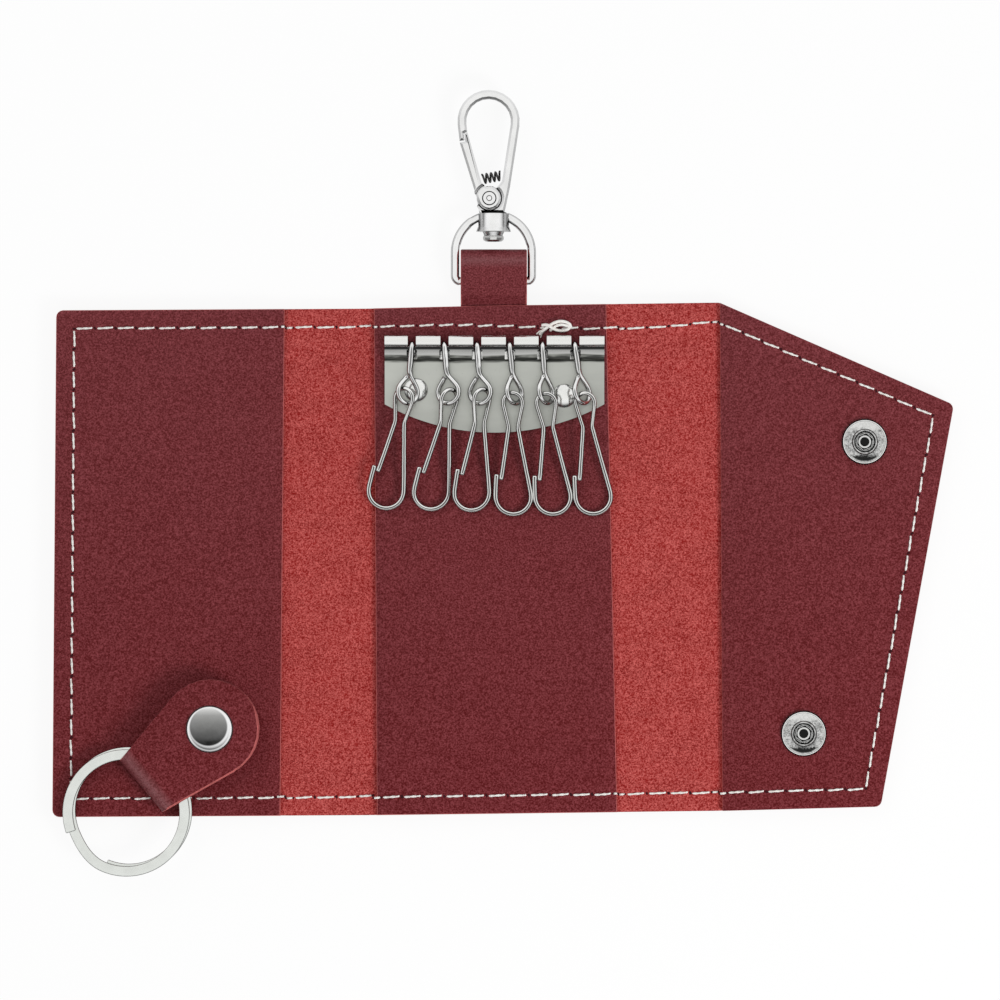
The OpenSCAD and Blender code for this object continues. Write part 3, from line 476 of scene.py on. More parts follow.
def plated(finish, plating, rough, worn, sides=0.20, level=0.62, upright=0.12, crown=1.0):
    """Plated metal: faint clouds, fine scratches, worn specks, painted shade on its sides and maybe a painted
    dark reflection on its crown.

    The painted shade on the sides starts where the surface tips to level, and is darkest at upright."""
    base = getattr(settings("metal"), plating)
    place = finish.place()
    cloud = finish.noise(place, 4 * MM, 3, 0.6)
    scratch = finish.noise(finish.stretched(place, 0.5, (1, 9, 1)), 0.5 * MM, 3, 0.6)
    speck = finish.between(finish.noise(place, 0.5 * MM, 2, 0.5), 0.68, 0.76)
    tone = finish.mix(finish.between(cloud, 0.3, 0.7), tinted(base, 0.93), tinted(base, 1.05))
    tone = finish.mix(speck * worn, tone, tinted(base, 0.55))
    # Painted shade: the sides turn darker as they tip towards upright.
    tone = finish.mix(finish.steepness(level, upright), tone, tinted(base, sides))
    # Painted reflection: a surface that faces straight up, like a wire's top, is darker by the crown factor.
    if crown < 1:
        tone = finish.mix(finish.steepness(0.975, 0.935), tinted(base, crown), tone)
    return finish.surface(
        Base_Color=tone, Metallic=1.0, Roughness=scratch * worn * 0.5 + cloud * 0.06 + rough,
        Normal=finish.bump(scratch, 0.004 * MM))


def nickel_plate(finish):
    return plated(finish, "nickel", rough=0.12, worn=0.16)


def nickel_sheet(finish):
    """The plate's finish, with painted reflections: bright where it is rolled, greyer with soft streaks where
    it is flat.
    """
    look = settings("metal")
    place = finish.place()
    low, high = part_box("key_plate")
    knuckle, shelf, rolled = (size / MM for size in (look.knuckle, look.shelf, look.rolled))
    across, up = finish.part(place, 0), finish.part(place, 1)
    drift = finish.noise(finish.stretched(place, 0, (0.4, 1.5, 1)), 7 * MM, 3, 0.55)
    # Painted reflection: the flat sheet is lighter towards its lower left and darker towards its upper right,
    # with soft drift.
    slant = (across - low.x) / (high.x - low.x) * 0.25 + (high.y - up) / (high.y - low.y) * 0.45
    flat = finish.mix(finish.between(slant + drift * 0.5, 0.2, 1.0),
                      tinted(look.sheet, 1.18), tinted(look.sheet, 0.78))
    wave = finish.noise(finish.stretched(place, 0, (0.25, 1, 1)), 3.2 * MM, 2, 0.5)
    streaks = finish.noise(finish.stretched(place, 0, (0.15, 1, 1)), 0.7 * MM, 2, 0.5)
    depth = (high.y - up) / MM
    down = depth + (wave - 0.5) * 1.3
    below_shelf = finish.between(down, shelf, shelf + 0.3)
    # Painted reflection: a dark wavy band, broken by streaks, between the shelf's lower edge and its foot.
    band = below_shelf - finish.between(down, rolled, rolled + 0.3)
    # Painted reflection: grey growing lighter from the knuckles' foot down to the shelf's lower edge.
    shine = finish.mix(finish.between(down, knuckle, shelf),
                       tinted(look.nickel, 0.30), tinted(look.nickel, 0.62))
    base = finish.mix(below_shelf, shine, flat)
    base = finish.mix(band * (1 - finish.between(streaks, 0.45, 0.75) * 0.7), base,
                      tinted(look.sheet, 0.14))
    # Painted highlight: the rolled knuckles are bright nickel down to their foot.
    base = finish.mix(finish.between(depth, knuckle, knuckle - 0.25), base, look.nickel)
    # Painted reflection: a dark line along the knuckles' foot.
    line = 1 - finish.between(finish.stripe(depth, knuckle, 1.3), 0.65, 0.35)
    base = finish.mix(line * 0.97, base, look.gap)
    scratch = finish.noise(finish.stretched(place, 0.2, (1, 7, 1)), 0.5 * MM, 3, 0.6)
    speck = finish.between(finish.noise(place, 0.45 * MM, 2, 0.5), 0.70, 0.78)
    base = finish.mix(speck * 0.4, base, tinted(look.sheet, 0.4))
    # Painted shade on steep sides.
    base = finish.mix(finish.steepness(0.55, 0.20), base, tinted(look.sheet, 0.15))
    dull = finish.between(down, knuckle, shelf) * 0.20
    return finish.surface(Base_Color=base, Metallic=1.0, Roughness=scratch * 0.08 + 0.12 + dull,
                          Normal=finish.bump(scratch, 0.004 * MM))


# The wires have painted shade on their sides and a painted dark reflection along their tops.
def bent_wire(finish):
    return plated(finish, "wire", rough=0.07, worn=0.22, sides=0.02, level=0.70, upright=0.45, crown=0.10)


def bright_wire(finish):
    return plated(finish, "bright_wire", rough=0.07, worn=0.20, sides=0.02, level=0.74, upright=0.40,
                  crown=0.26)


def bright_plating(finish):
    return plated(finish, "chrome", rough=0.08, worn=0.10, sides=0.26, level=0.80, upright=0.35)


def boss_plating(finish):
    """The boss on the D-ring, pale on top, with painted shade grey down its round sides."""
    return plated(finish, "chrome", rough=0.16, worn=0.20, sides=0.16, level=0.90, upright=0.42)


def clasp_edge(finish):
    """The slanted and upright sides of the clasp, painted greyer than its flat as shade."""
    return plated(finish, "chrome", rough=0.16, worn=0.20, sides=0.12, level=0.90, upright=0.30)


def satin_plating(finish):
    """The split ring's band, brushed fine and a little green-grey, with painted shade on its steep sides."""
    return plated(finish, "satin", rough=0.18, worn=0.10, sides=0.05, level=0.86, upright=0.30)


def dark_line(finish):
    """Painted shade: near-black metal in narrow gaps, holes and contact rings."""
    return plated(finish, "gap", rough=0.45, worn=0.10, sides=0.5)


def domed_cap(finish):
    """A polished dome with painted reflections: bright round its edge, grey inside, darkest low down, with a
    painted dark contact ring at its rim.
    """
    look = settings("metal")
    place = finish.place("dome")
    # Painted reflection: grey shades from low down to high up on the dome, bright at the top.
    shades = ((0.0, 0.02), (0.22, 0.03), (0.32, 0.12), (0.46, 0.20), (0.62, 0.32), (0.80, 0.50),
              (0.92, 0.85))
    shifted = finish.add("ShaderNodeVectorMath", {"operation": "DISTANCE"},
                         {0: place, 1: (-0.04, 0.10, 0)}, output=1)
    # Painted reflection: a bright ring round the edge, a little off the middle.
    inside = 1 - finish.between(shifted, 0.80, 0.86)
    stops = [(height, tinted(look.snap, shade)) for height, shade in shades] + [(1.0, look.chrome)]
    grey = finish.add("ShaderNodeValToRGB", {"stops": stops}, {"Fac": finish.part(place, 1) * 0.5 + 0.5})
    scuff = finish.noise(finish.place(), 1.6 * MM, 3, 0.6)
    base = finish.mix(inside, look.chrome, grey)
    base = finish.mix(finish.between(scuff, 0.4, 0.8) * 0.06, base, look.snap)
    # Painted contact shadow: a near-black ring at the very rim.
    base = finish.mix(finish.between(finish.reach(place), 0.985, 1.0), base, tinted(look.snap, 0.05))
    return finish.surface(Base_Color=base, Metallic=1.0, Roughness=scuff * 0.06 + 0.10)


def snap_plating(finish):
    return plated(finish, "snap", rough=0.15, worn=0.20)


def socket_plating(finish):
    """Pressed and plated metal, pale with small grey dents, painted darker low down and lighter high up, with
    a painted bright ring near its rim and painted shade on steep sides.
    """
    look = settings("metal")
    place = finish.place()
    dents = finish.noise(place, 0.42 * MM, 3, 0.7, 0.8)
    patch = finish.noise(finish.stretched(place, 0.4, (1, 1.6, 1)), 1.5 * MM, 3, 0.65, 0.6)
    face = finish.place("dome")
    out, up = finish.reach(face), finish.part(face, 1)
    base = finish.mix(finish.between(dents * 0.7 + patch * 0.4, 0.44, 0.64), tinted(look.snap, 0.22),
                      tinted(look.snap, 0.95))
    # Painted shade: a dark patch low down on the socket.
    painted_shade_below = finish.between(up + (dents - 0.5) * 0.35, -0.56, -0.66) * finish.between(out, 0.88, 0.82)
    base = finish.mix(painted_shade_below, base, tinted(look.snap, 0.03))
    # Painted light: a lighter patch high up on the socket.
    painted_light_above = finish.between(up + (patch - 0.5) * 0.5, 0.42, 0.70) * 0.75
    base = finish.mix(painted_light_above, base, tinted(look.snap, 1.15))
    # Painted highlight: a bright ring near the rim.
    base = finish.mix(finish.between(out, 0.87, 0.92), base, tinted(look.snap, 1.35))
    # Painted shade on steep sides.
    base = finish.mix(finish.steepness(0.80, 0.45), base, tinted(look.snap, 0.03))
    return finish.surface(Base_Color=base, Metallic=1.0, Roughness=dents * 0.1 + 0.14,
                          Normal=finish.bump(dents, 0.05 * MM))


def dark_spring(finish):
    return plated(finish, "steel", rough=0.22, worn=0.25)


# Modelling


def stop_editing():
    if bpy.context.object and bpy.context.object.mode != "OBJECT":
        bpy.ops.object.mode_set(mode="OBJECT")


def pick(*pieces):
    """Selects the pieces and nothing else, in object mode. The last one is active."""
    stop_editing()
    bpy.ops.object.select_all(action="DESELECT")
    for piece in pieces:
        piece.select_set(True)
        bpy.context.view_layer.objects.active = piece


def edit(piece):
    """Opens the piece in edit mode with all of it selected."""
    pick(piece)
    bpy.ops.object.mode_set(mode="EDIT")
    bpy.ops.mesh.select_mode(type="VERT")
    bpy.ops.mesh.select_all(action="SELECT")


def choose(piece, kind, test):
    """In edit mode, selects the faces, edges or verts that pass the test, and nothing else."""
    bpy.ops.mesh.select_mode(type={"faces": "FACE", "edges": "EDGE", "verts": "VERT"}[kind])
    bpy.ops.mesh.select_all(action="DESELECT")
    mesh = bmesh.from_edit_mesh(piece.data)
    mesh.normal_update()
    chosen = [part for part in getattr(mesh, kind) if test(part)]
    for part in chosen:
        part.select_set(True)
    mesh.select_flush_mode()
    bmesh.update_edit_mesh(piece.data)
    return len(chosen)


def close_surface():
    """In edit mode, merges what meets and turns all faces outward."""
    bpy.ops.mesh.select_all(action="SELECT")
    bpy.ops.mesh.remove_doubles(threshold=SAME / 5)
    bpy.ops.mesh.normals_make_consistent(inside=False)


def modify(piece, kind, **values):
    """Adds a modifier with these values and applies it."""
    pick(piece)
    modifier = piece.modifiers.new(kind.lower(), kind)
    for name, value in values.items():
        setattr(modifier, name, value)
    bpy.ops.object.modifier_apply(modifier=modifier.name)


def smooth(piece, angle=32):
    pick(piece)
    bpy.ops.object.shade_smooth_by_angle(angle=math.radians(angle))


def paint(piece, *makes, which=None):
    """Gives the piece its finishes. Which tells a face's finish, 0 for the first."""
    piece.data.materials.clear()
    for make in makes:
        piece.data.materials.append(finish_named(make.__name__, make))
    if which:
        for face in piece.data.polygons:
            face.material_index = int(which(face))


def remember(piece, name, value):
    """Keeps a vector for each point, worked out from its place, for a pattern that follows it."""
    kept = piece.data.attributes.new(name, "FLOAT_VECTOR", "POINT")
    kept.data.foreach_set("vector", [part for vertex in piece.data.vertices for part in value(vertex.co)])


def remember_rest(piece):
    """Keeps where each point lies at rest, so that a pattern follows leather that bends."""
    remember(piece, "rest", lambda place: place)


def fit(piece, body, slot, *nodes):
    """Sets the piece on its body, in place of the CAD nodes that it stands for."""
    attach(piece, body)
    if nodes:
        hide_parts(*nodes)


def twin_of(piece):
    """A copy of the piece with its own mesh."""
    twin = piece.copy()
    twin.data = piece.data.copy()
    bpy.context.scene.collection.objects.link(twin)
    return twin


def joined(pieces):
    pick(*pieces)
    if len(pieces) > 1:
        bpy.ops.object.join()
    return bpy.context.object


def own_copy(name, node):
    """A new piece from a copy of a CAD node, its loose triangles merged; left in edit mode."""
    piece = twin_of(frame["nodes"][node])
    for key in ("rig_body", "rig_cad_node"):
        del piece[key]
    piece.parent = None
    piece.hide_render = piece.hide_viewport = False
    piece.hide_set(False)
    pick(piece)
    piece.name = name
    bpy.ops.mesh.customdata_custom_splitnormals_clear()
    edit(piece)
    bpy.ops.mesh.remove_doubles(threshold=SAME / 5)
    return piece


def merge_flats():
    """In edit mode, makes one face of all that lie in one flat side."""
    bpy.ops.mesh.dissolve_limited(angle_limit=FLAT)


def trace(name, points):
    """A line of edges through the points, drawn by extruding one vertex; left in edit mode."""
    pick()
    bpy.ops.mesh.primitive_plane_add(size=MM)
    piece = bpy.context.object
    piece.name = name
    edit(piece)
    bpy.ops.mesh.merge(type="CENTER")
    bpy.ops.transform.translate(value=points[0])
    for a, b in zip(points, points[1:]):
        bpy.ops.mesh.extrude_vertices_move(
            TRANSFORM_OT_translate={"value": Vector(b) - Vector(a)})
    bpy.ops.mesh.select_all(action="SELECT")
    return piece


def lathe(name, profile, centre, flip=False, steps=64):
    """A round piece turned from a profile of radius and height, about an upright line."""
    sign = -1 if flip else 1
    piece = trace(name, [centre + Vector((r, 0, sign * z)) for r, z in profile])
    bpy.ops.mesh.spin(steps=steps, angle=math.tau, center=centre, axis=UP)
    close_surface()
    stop_editing()
    return piece


def tube(name, points, thickness, closed=False, resolution=4, rounded=False):
    """A round wire along the points."""
    piece = trace(name, points + [points[0]] if closed else points)
    if closed:
        bpy.ops.mesh.remove_doubles(threshold=SAME)
    stop_editing()
    if rounded:
        modify(piece, "SUBSURF", levels=2, render_levels=2)
    bpy.ops.object.convert(target="CURVE")
    piece = bpy.context.object
    piece.data.bevel_depth = thickness / 2
    piece.data.bevel_resolution = resolution
    piece.data.use_fill_caps = True
    bpy.ops.object.convert(target="MESH")
    piece = bpy.context.object
    edit(piece)
    close_surface()
    stop_editing()
    return piece


def arc(centre, radius, start, end, count):
    """Points of an arc in the XY plane round a centre, angles in degrees."""
    return [centre + radius * Vector((math.cos(math.radians(a)), math.sin(math.radians(a)), 0))
            for a in (start + (end - start) * i / count for i in range(count + 1))]


def seen_at(x, y, z):
    """The place that the view shows at a pixel, at that height over the case's ground."""
    pixel = settings("stage").pixel
    return Vector(((x - ORIGIN_X) * pixel, (ORIGIN_Y - y) * pixel, z))


def middle_of(node):
    low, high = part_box(node)
    return (low + high) / 2


def tab_axis():
    """Direction along the tab, from its snap to its fold."""
    return Vector((math.cos(TAB_TURN), math.sin(TAB_TURN), 0))


# Leather


def slab(name, nodes, seams):
    """One slab with the outline of CAD nodes that butt at upright seams; left in edit mode."""
    parts = []
    for node in nodes:
        parts.append(own_copy(name, node))
        bpy.ops.mesh.convex_hull()
        merge_flats()
    piece = joined(parts)
    edit(piece)
    choose(piece, "faces", lambda f: abs(f.normal.x) > 0.9 and any(
        abs(f.calc_center_median().x - x) < SAME for x in seams))
    bpy.ops.mesh.delete(type="FACE")
    close_surface()
    return piece


def cut_across(place, normal):
    bpy.ops.mesh.select_all(action="SELECT")
    bpy.ops.mesh.bisect(plane_co=place, plane_no=normal)


def cut_grid(piece, folds):
    """Cuts the leather into a grid, finer at the folds."""
    look = settings("leather")
    xs = [v.co.x for v in bmesh.from_edit_mesh(piece.data).verts]
    ys = [v.co.y for v in bmesh.from_edit_mesh(piece.data).verts]
    places = {round(x / look.grid) for x in (min(xs) + look.edge_round * 3, max(xs))}
    for i in range(min(places) + 1, max(places)):
        cut_across(X_AXIS * (i * look.grid), X_AXIS)
    for fold in folds:
        reach = look.fold_under + look.fold_grid
        steps = round(2 * reach / look.fold_grid)
        for i in range(steps + 1):
            cut_across(X_AXIS * (fold - reach + i * look.fold_grid + SAME), X_AXIS)
    for i in range(round(min(ys) / look.grid) + 1, round(max(ys) / look.grid)):
        cut_across(Y_AXIS * (i * look.grid), Y_AXIS)


def is_rim(edge, flat_walls):
    """Whether an edge is where a flat side meets an outer wall, away from where two pieces meet."""
    if len(edge.link_faces) != 2:
        return False
    walls = [f for f in edge.link_faces if abs(f.normal.z) < 0.3]
    flats = [f for f in edge.link_faces if abs(f.normal.z) > 0.7]
    if len(walls) != 1 or len(flats) != 1:
        return False
    return not any(abs(v.co.x - x) < SAME for v in edge.verts for x in flat_walls)


def round_rim(piece, flat_walls):
    look = settings("leather")
    choose(piece, "edges", lambda e: is_rim(e, flat_walls))
    bpy.ops.mesh.bevel(offset=look.edge_round, segments=3, affect="EDGES", clamp_overlap=True)


def ripple(piece):
    """Soft waves, the same for all layers that lie on each other."""
    look = settings("leather")
    clouds = bpy.data.textures.get("waves") or bpy.data.textures.new("waves", "CLOUDS")
    clouds.noise_scale = look.wave_size
    clouds.noise_depth = 1
    modify(piece, "DISPLACE", texture=clouds, texture_coords="LOCAL", direction="Z",
           strength=look.wave, mid_level=0.5)


def leather_finish(piece, top, bottom):
    """The top and bottom sides get their leathers, and the cut sides show raw fibres."""
    level = 0.86
    paint(piece, top, bottom, raw_edge,
          which=lambda face: 0 if face.normal.z > level else 1 if face.normal.z < -level else 2)
    remember_rest(piece)


def fold_lines():
    """X of the four fold lines, from left to right."""
    left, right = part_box("cover_left_strip"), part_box("cover_right_strip")
    return [left[0].x, left[1].x, right[0].x, right[1].x]


def stretches():
    """The four stretches of the hide: the parts that each covers, its fold, and X at both its ends."""
    folds = fold_lines()
    ends = [-OUTSIDE, (folds[0] + folds[1]) / 2, 0, (folds[2] + folds[3]) / 2, OUTSIDE]
    return list(zip(STRETCHES, folds, ends, ends[1:]))


def bend_at(piece, number, fold):
    """Bakes the piece's transform into its mesh. The reach of a bend at the fold, more on the side of the
    inner panel, is worked out but not used.
    """
    look = settings("leather")
    left, right = look.fold_out, look.fold_out
    if number % 2:
        right = look.fold_under
    else:
        left = look.fold_under
    fold - left
    fold + right
    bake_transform(piece)


class CASE_OT_hide(bpy.types.Operator):
    """Makes the outer hide, rough side up, in four stretches, each cut finer at one fold"""

    bl_idname = "key_case.hide"
    bl_label = "Hide"

    def execute(self, context):
        for i, (parts, fold, start, end) in enumerate(stretches()):
            nodes = ["cover_" + part for part in parts]
            piece = slab(f"hide_{i + 1}", nodes, [fold])
            cuts = [(x, side) for x, side in ((start, 1), (end, -1)) if abs(x) < OUTSIDE]
            for x, side in cuts:
                bpy.ops.mesh.select_all(action="SELECT")
                bpy.ops.mesh.bisect(plane_co=X_AXIS * x, plane_no=X_AXIS * -side,
                                    clear_outer=True, use_fill=True)
            close_surface()
            round_rim(piece, [x for x, side in cuts])
            cut_grid(piece, [fold])
            close_surface()
            stop_editing()
            ripple(piece)
            leather_finish(piece, suede_leather, grain_leather)
            smooth(piece)
            bend_at(piece, i, fold)
            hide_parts(*nodes)
        return {"FINISHED"}


class CASE_OT_panels(bpy.types.Operator):
    """Makes the three smooth inner panels that lie on the hide"""

    bl_idname = "key_case.panels"
    bl_label = "Inner panels"

    def execute(self, context):
        for side in ("left", "middle", "right"):
            node = "panel_" + side
            piece = slab("inner_" + node, [node], [])
            round_rim(piece, [])
            cut_grid(piece, [])
            close_surface()
            stop_editing()
            ripple(piece)
            leather_finish(piece, grain_leather, suede_leather)
            smooth(piece)
            fit(piece, "middle" if side == "middle" else side + "_panel", "inner_leather", node)
        return {"FINISHED"}


def bent_leather(name, node, body, top, is_cut, pare=None):
    """A strip of leather folded on itself, with rounded, raw cut edges."""
    piece = own_copy(name, node)
    merge_flats()
    if pare:
        pare(piece)
    close_surface()
    stop_editing()
    modify(piece, "BEVEL", width=settings("leather").edge_round, segments=3,
           limit_method="ANGLE", angle_limit=math.radians(50))
    paint(piece, top, raw_edge, which=is_cut)
    remember_rest(piece)
    smooth(piece)
    fit(piece, body, "strap_leather", node)


class CASE_OT_strap(bpy.types.Operator):
    """Makes the strap that holds the D-ring"""

    bl_idname = "key_case.strap"
    bl_label = "Strap"

    def execute(self, context):
        bent_leather("strap_loop", "strap", "middle", strap_grain, lambda face: abs(face.normal.x) > 0.3)
        return {"FINISHED"}


class CASE_OT_tab(bpy.types.Operator):
    """Makes the folded tab round the split ring"""

    bl_idname = "key_case.tab"
    bl_label = "Tab"

    def execute(self, context):
        fold = tab_axis()
        across = Vector((-fold.y, fold.x, 0))
        low_side = Vector((1, -1, 0)).normalized()

        def is_cut(face):
            lowest = 0.97 if face.normal.dot(low_side) > 0.1 else 0.6
            side = abs(face.normal.dot(across)) > 0.2 or face.normal.dot(fold) < -0.2
            return side and abs(face.normal.z) < lowest

        bent_leather("tab_strip", "tab", "tab", tab_grain, is_cut, pare_edge)
        return {"FINISHED"}


def pare_edge(piece):
    """The tab's upper leaf is cut at a slant where it faces down and to the right."""
    low_side = Vector((0.6, -1, 0)).normalized()
    top = max(v.co.z for v in bmesh.from_edit_mesh(piece.data).verts)

    def is_low_edge(edge):
        level = [f for f in edge.link_faces if f.normal.z > 0.9]
        walls = [f for f in edge.link_faces if abs(f.normal.z) < 0.3]
        return (len(level) == 1 and len(walls) == 1 and walls[0].normal.dot(low_side) > 0.35
                and all(v.co.z > top - MM / 2 for v in edge.verts))

    choose(piece, "edges", is_low_edge)
    bpy.ops.mesh.bevel(offset=settings("leather").pared, segments=2, affect="EDGES")


# Thread


def stitches_of(node):
    """Middle, direction and length of each stitch of a seam, and whether it lies on the back."""
    twin = own_copy("seam_lines", node)
    mesh = bmesh.from_edit_mesh(twin.data)
    left = set(mesh.verts)
    found = []
    while left:
        island = {left.pop()}
        edge = set(island)
        while edge:
            edge = {v for old in edge for e in old.link_edges for v in e.verts} & left
            left -= edge
            island |= edge
        places = [v.co.copy() for v in island]
        longest = max((e for v in island for e in v.link_edges
                       if abs(e.verts[0].co.z - e.verts[1].co.z) < SAME
                       and e.calc_face_angle(0) > math.radians(30)), key=lambda e: e.calc_length())
        run = longest.verts[1].co - longest.verts[0].co
        if run.x + run.y < 0:
            run.negate()
        middle = sum(places, Vector()) / len(places)
        back = max(p.z for p in places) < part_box("cover_middle")[1].z / 2
        middle.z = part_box("cover_middle")[0].z if back else min(p.z for p in places)
        found.append((middle, run, back))
    stop_editing()
    bpy.data.objects.remove(twin)
    return sorted(found, key=lambda s: (round(s[0].x, 6), round(s[0].y, 6), s[2]))


def make_stitch():
    """One stitch along X, 1 long, of thread with a twist, its ends dipping under."""
    look = settings("thread")
    rings, sides, half, twist, flatness = 9, 8, 0.5, 0.9, 0.72
    top = look.height * 0.5
    pick()
    bpy.ops.mesh.primitive_circle_add(vertices=sides, radius=look.width / 2, fill_type="NGON")
    piece = bpy.context.object
    edit(piece)
    bpy.ops.transform.resize(value=(1, flatness, 1))
    bpy.ops.transform.rotate(value=math.pi / 2, orient_axis="Y", center_override=(0, 0, 0))
    bpy.ops.transform.translate(value=(-half, 0, -look.sink))
    for i in range(1, rings + 1):
        share = i / rings
        rise = (top + look.sink) * (arch(share) - arch((i - 1) / rings))
        bpy.ops.mesh.extrude_region_move(TRANSFORM_OT_translate={"value": (2 * half / rings, 0, rise)})
        centre = (half * (2 * share - 1), 0, top * arch(share) - look.sink * (1 - arch(share)))
        bpy.ops.transform.rotate(value=twist, orient_axis="X", center_override=centre)
    close_surface()
    stop_editing()
    return piece


def arch(share):
    """Height of a stitch along its run, quick to rise and level on top."""
    return min(1, 4.2 * share * (1 - share)) ** 0.5


def laid_out(name, model, places, make):
    """One piece from copies of the model at each place. Where a place mirrors, it is turned right."""
    laid = []
    for place in places:
        laid.append(twin_of(model))
        laid[-1].data.transform(place)
        if place.is_negative:
            laid[-1].data.flip_normals()
    bpy.data.objects.remove(model)
    piece = joined(laid)
    piece.name = name
    paint(piece, make)
    smooth(piece, 60)
    return piece


def lay_stitches(name, stitches, chance):
    """Copies one stitch to each place of a seam, each turned, shifted and stretched a little."""
    look = settings("thread")
    places = []
    for middle, run, back in stitches:
        turn = math.atan2(run.y, run.x) + chance.uniform(-0.02, 0.02)
        side = Vector((-run.y, run.x, 0)).normalized() * chance.uniform(-0.06, 0.06) * MM
        longer = look.overlap * chance.uniform(0.6, 1.2)
        scale = Matrix.Diagonal((run.length + longer, 1, -1 if back else 1, 1))
        places.append(Matrix.Translation(middle + side) @ Matrix.Rotation(turn, 4, "Z") @ scale)
    return laid_out(name, make_stitch(), places, sewing_thread)


def lay_holes(name, stitches, chance):
    """A dark disc at each end of each stitch: painted shade in its needle hole."""
    beyond = 0.07
    places = []
    for middle, run, back in stitches:
        turn = Matrix.Rotation(math.atan2(run.y, run.x), 4, "Z")
        for side in (-1, 1):
            end = middle + run * (side * (0.5 + beyond))
            sunk = Matrix.Diagonal((chance.uniform(0.85, 1.2), chance.uniform(0.7, 1), 0.22, 1))
            places.append(Matrix.Translation(end) @ turn @ sunk)
    pick()
    bpy.ops.mesh.primitive_uv_sphere_add(
        segments=8, ring_count=4, radius=settings("thread").hole_size / 2)
    return laid_out(name, bpy.context.object, places, needle_hole)


def towards(row, edge, gap):
    """For the top and the bottom row, one short stitch that fills its end up to an upright edge."""
    filled = []
    for upper in (True, False):
        line = [s for s in row if (s[0].y > 0) == upper and not s[2] and abs(s[1].x) > abs(s[1].y)]
        middle, run, back = min(line, key=lambda s: abs(s[0].x - edge))
        side = 1 if edge > middle.x else -1
        start = middle + run * (side / 2) + run.normalized() * (side * gap)
        left = side * (edge - start.x)
        if left > gap:
            short = run.normalized() * min(left, run.length)
            filled.append((start + short * (side / 2), short, back))
    return filled


class CASE_OT_seam(bpy.types.Operator):
    """Sews the seam: a row of stitches on the panels, and one on the strips and the back"""

    bl_idname = "key_case.seam"
    bl_label = "Seam"

    def execute(self, context):
        chance = random.Random(4)
        rows = {side: stitches_of("stitching_" + side)
                for side in ("left", "left_strip", "middle", "right_strip", "right")}
        panel_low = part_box("panel_middle")[0].z
        edges = {side: (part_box("panel_" + side)[0].x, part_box("panel_" + side)[1].x)
                 for side in ("left", "middle", "right")}
        gap = settings("thread").gap
        for side in ("middle", "right_strip"):
            self.let_sag(rows[side], edges["middle"][0] / 2, edges["right"][0])
        for side, start, end in (("left_strip", edges["left"][1], edges["middle"][0]),
                                 ("right_strip", edges["middle"][1], edges["right"][0])):
            rows[side] += towards(rows[side], start + gap, gap) + towards(rows[side], end - gap, gap)
        for side, body in (("left", "left_panel"), ("middle", "middle"), ("right", "right_panel")):
            row = [s for s in rows[side] if not s[2]]
            for number, edge in enumerate(edges[side]):
                if (side, number) not in (("left", 0), ("right", 1)):
                    row += towards(row, edge, gap)
            for name, lay in (("thread_", lay_stitches), ("needle_holes_", lay_holes)):
                fit(lay(name + side, row, chance), body, "thread", "stitching_" + side)
        on_hide = [s for row in rows.values() for s in row if s[2] or s[0].z < panel_low + MM / 2]
        for i, (parts, fold, start, end) in enumerate(stretches()):
            row = [s for s in on_hide if start <= s[0].x < end]
            for name, lay in (("hide_thread_", lay_stitches), ("hide_needle_holes_", lay_holes)):
                piece = lay(name + str(i + 1), row, chance)
                bend_at(piece, i, fold)
                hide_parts(*("stitching_" + part for part in parts))
        self.knot(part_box("panel_middle")[1].z)
        return {"FINISHED"}

    def let_sag(self, row, start, end):
        """The upper row dips between two upright lines, most towards the second."""
        for middle, run, back in row:
            share = (middle.x - start) / (end - start)
            if 0 < share < 1 and middle.y > 0 and not back and abs(run.x) > abs(run.y):
                middle.y -= settings("thread").sag * math.sin(math.pi * share ** 1.5)

    def knot(self, leather):
        """The loose figure-eight knot on the middle panel's top row, with its frayed end.

        Its points are the view's pixels, and heights over the leather in widths of the thread."""
        look = settings("thread")
        course = [(539.5, 335, 0.3), (543, 331, 0.5), (548, 326.8, 0.9), (554, 323, 1.3), (560, 321.2, 1.1),
                  (566, 322.2, 0.8), (571, 325, 0.5), (570, 329, 0.5), (563, 331.6, 0.6),
                  (556, 330.6, 0.7), (551, 328, 1.5), (547, 324.6, 1.2), (542, 325.6, 0.4)]
        loose = [(550, 331, 0.35), (555, 326.4, 0.8), (561, 324.4, 1.5), (567, 326.4, 1.2),
                 (571.5, 327.6, 0.4)]
        ends = [[(544, 330, 0.4), (539, 331.4, 0.3), (536.5, 334.6, 0.2)],
                [(545, 329, 0.4), (541.5, 334, 0.5), (540.5, 338, 0.2)]]
        strands = []
        for number, (path, width) in enumerate(((course, 1), (loose, 0.9), (ends[0], 0.45), (ends[1], 0.4))):
            points = [seen_at(x, y, leather + up * look.loop) for x, y, up in path]
            strands.append(tube(f"strand_{number}", points, look.loop * width, resolution=2, rounded=True))
        piece = joined(strands)
        piece.name = "thread_knot"
        paint(piece, sewing_thread)
        smooth(piece, 60)
        fit(piece, "middle", "thread")


# Metal


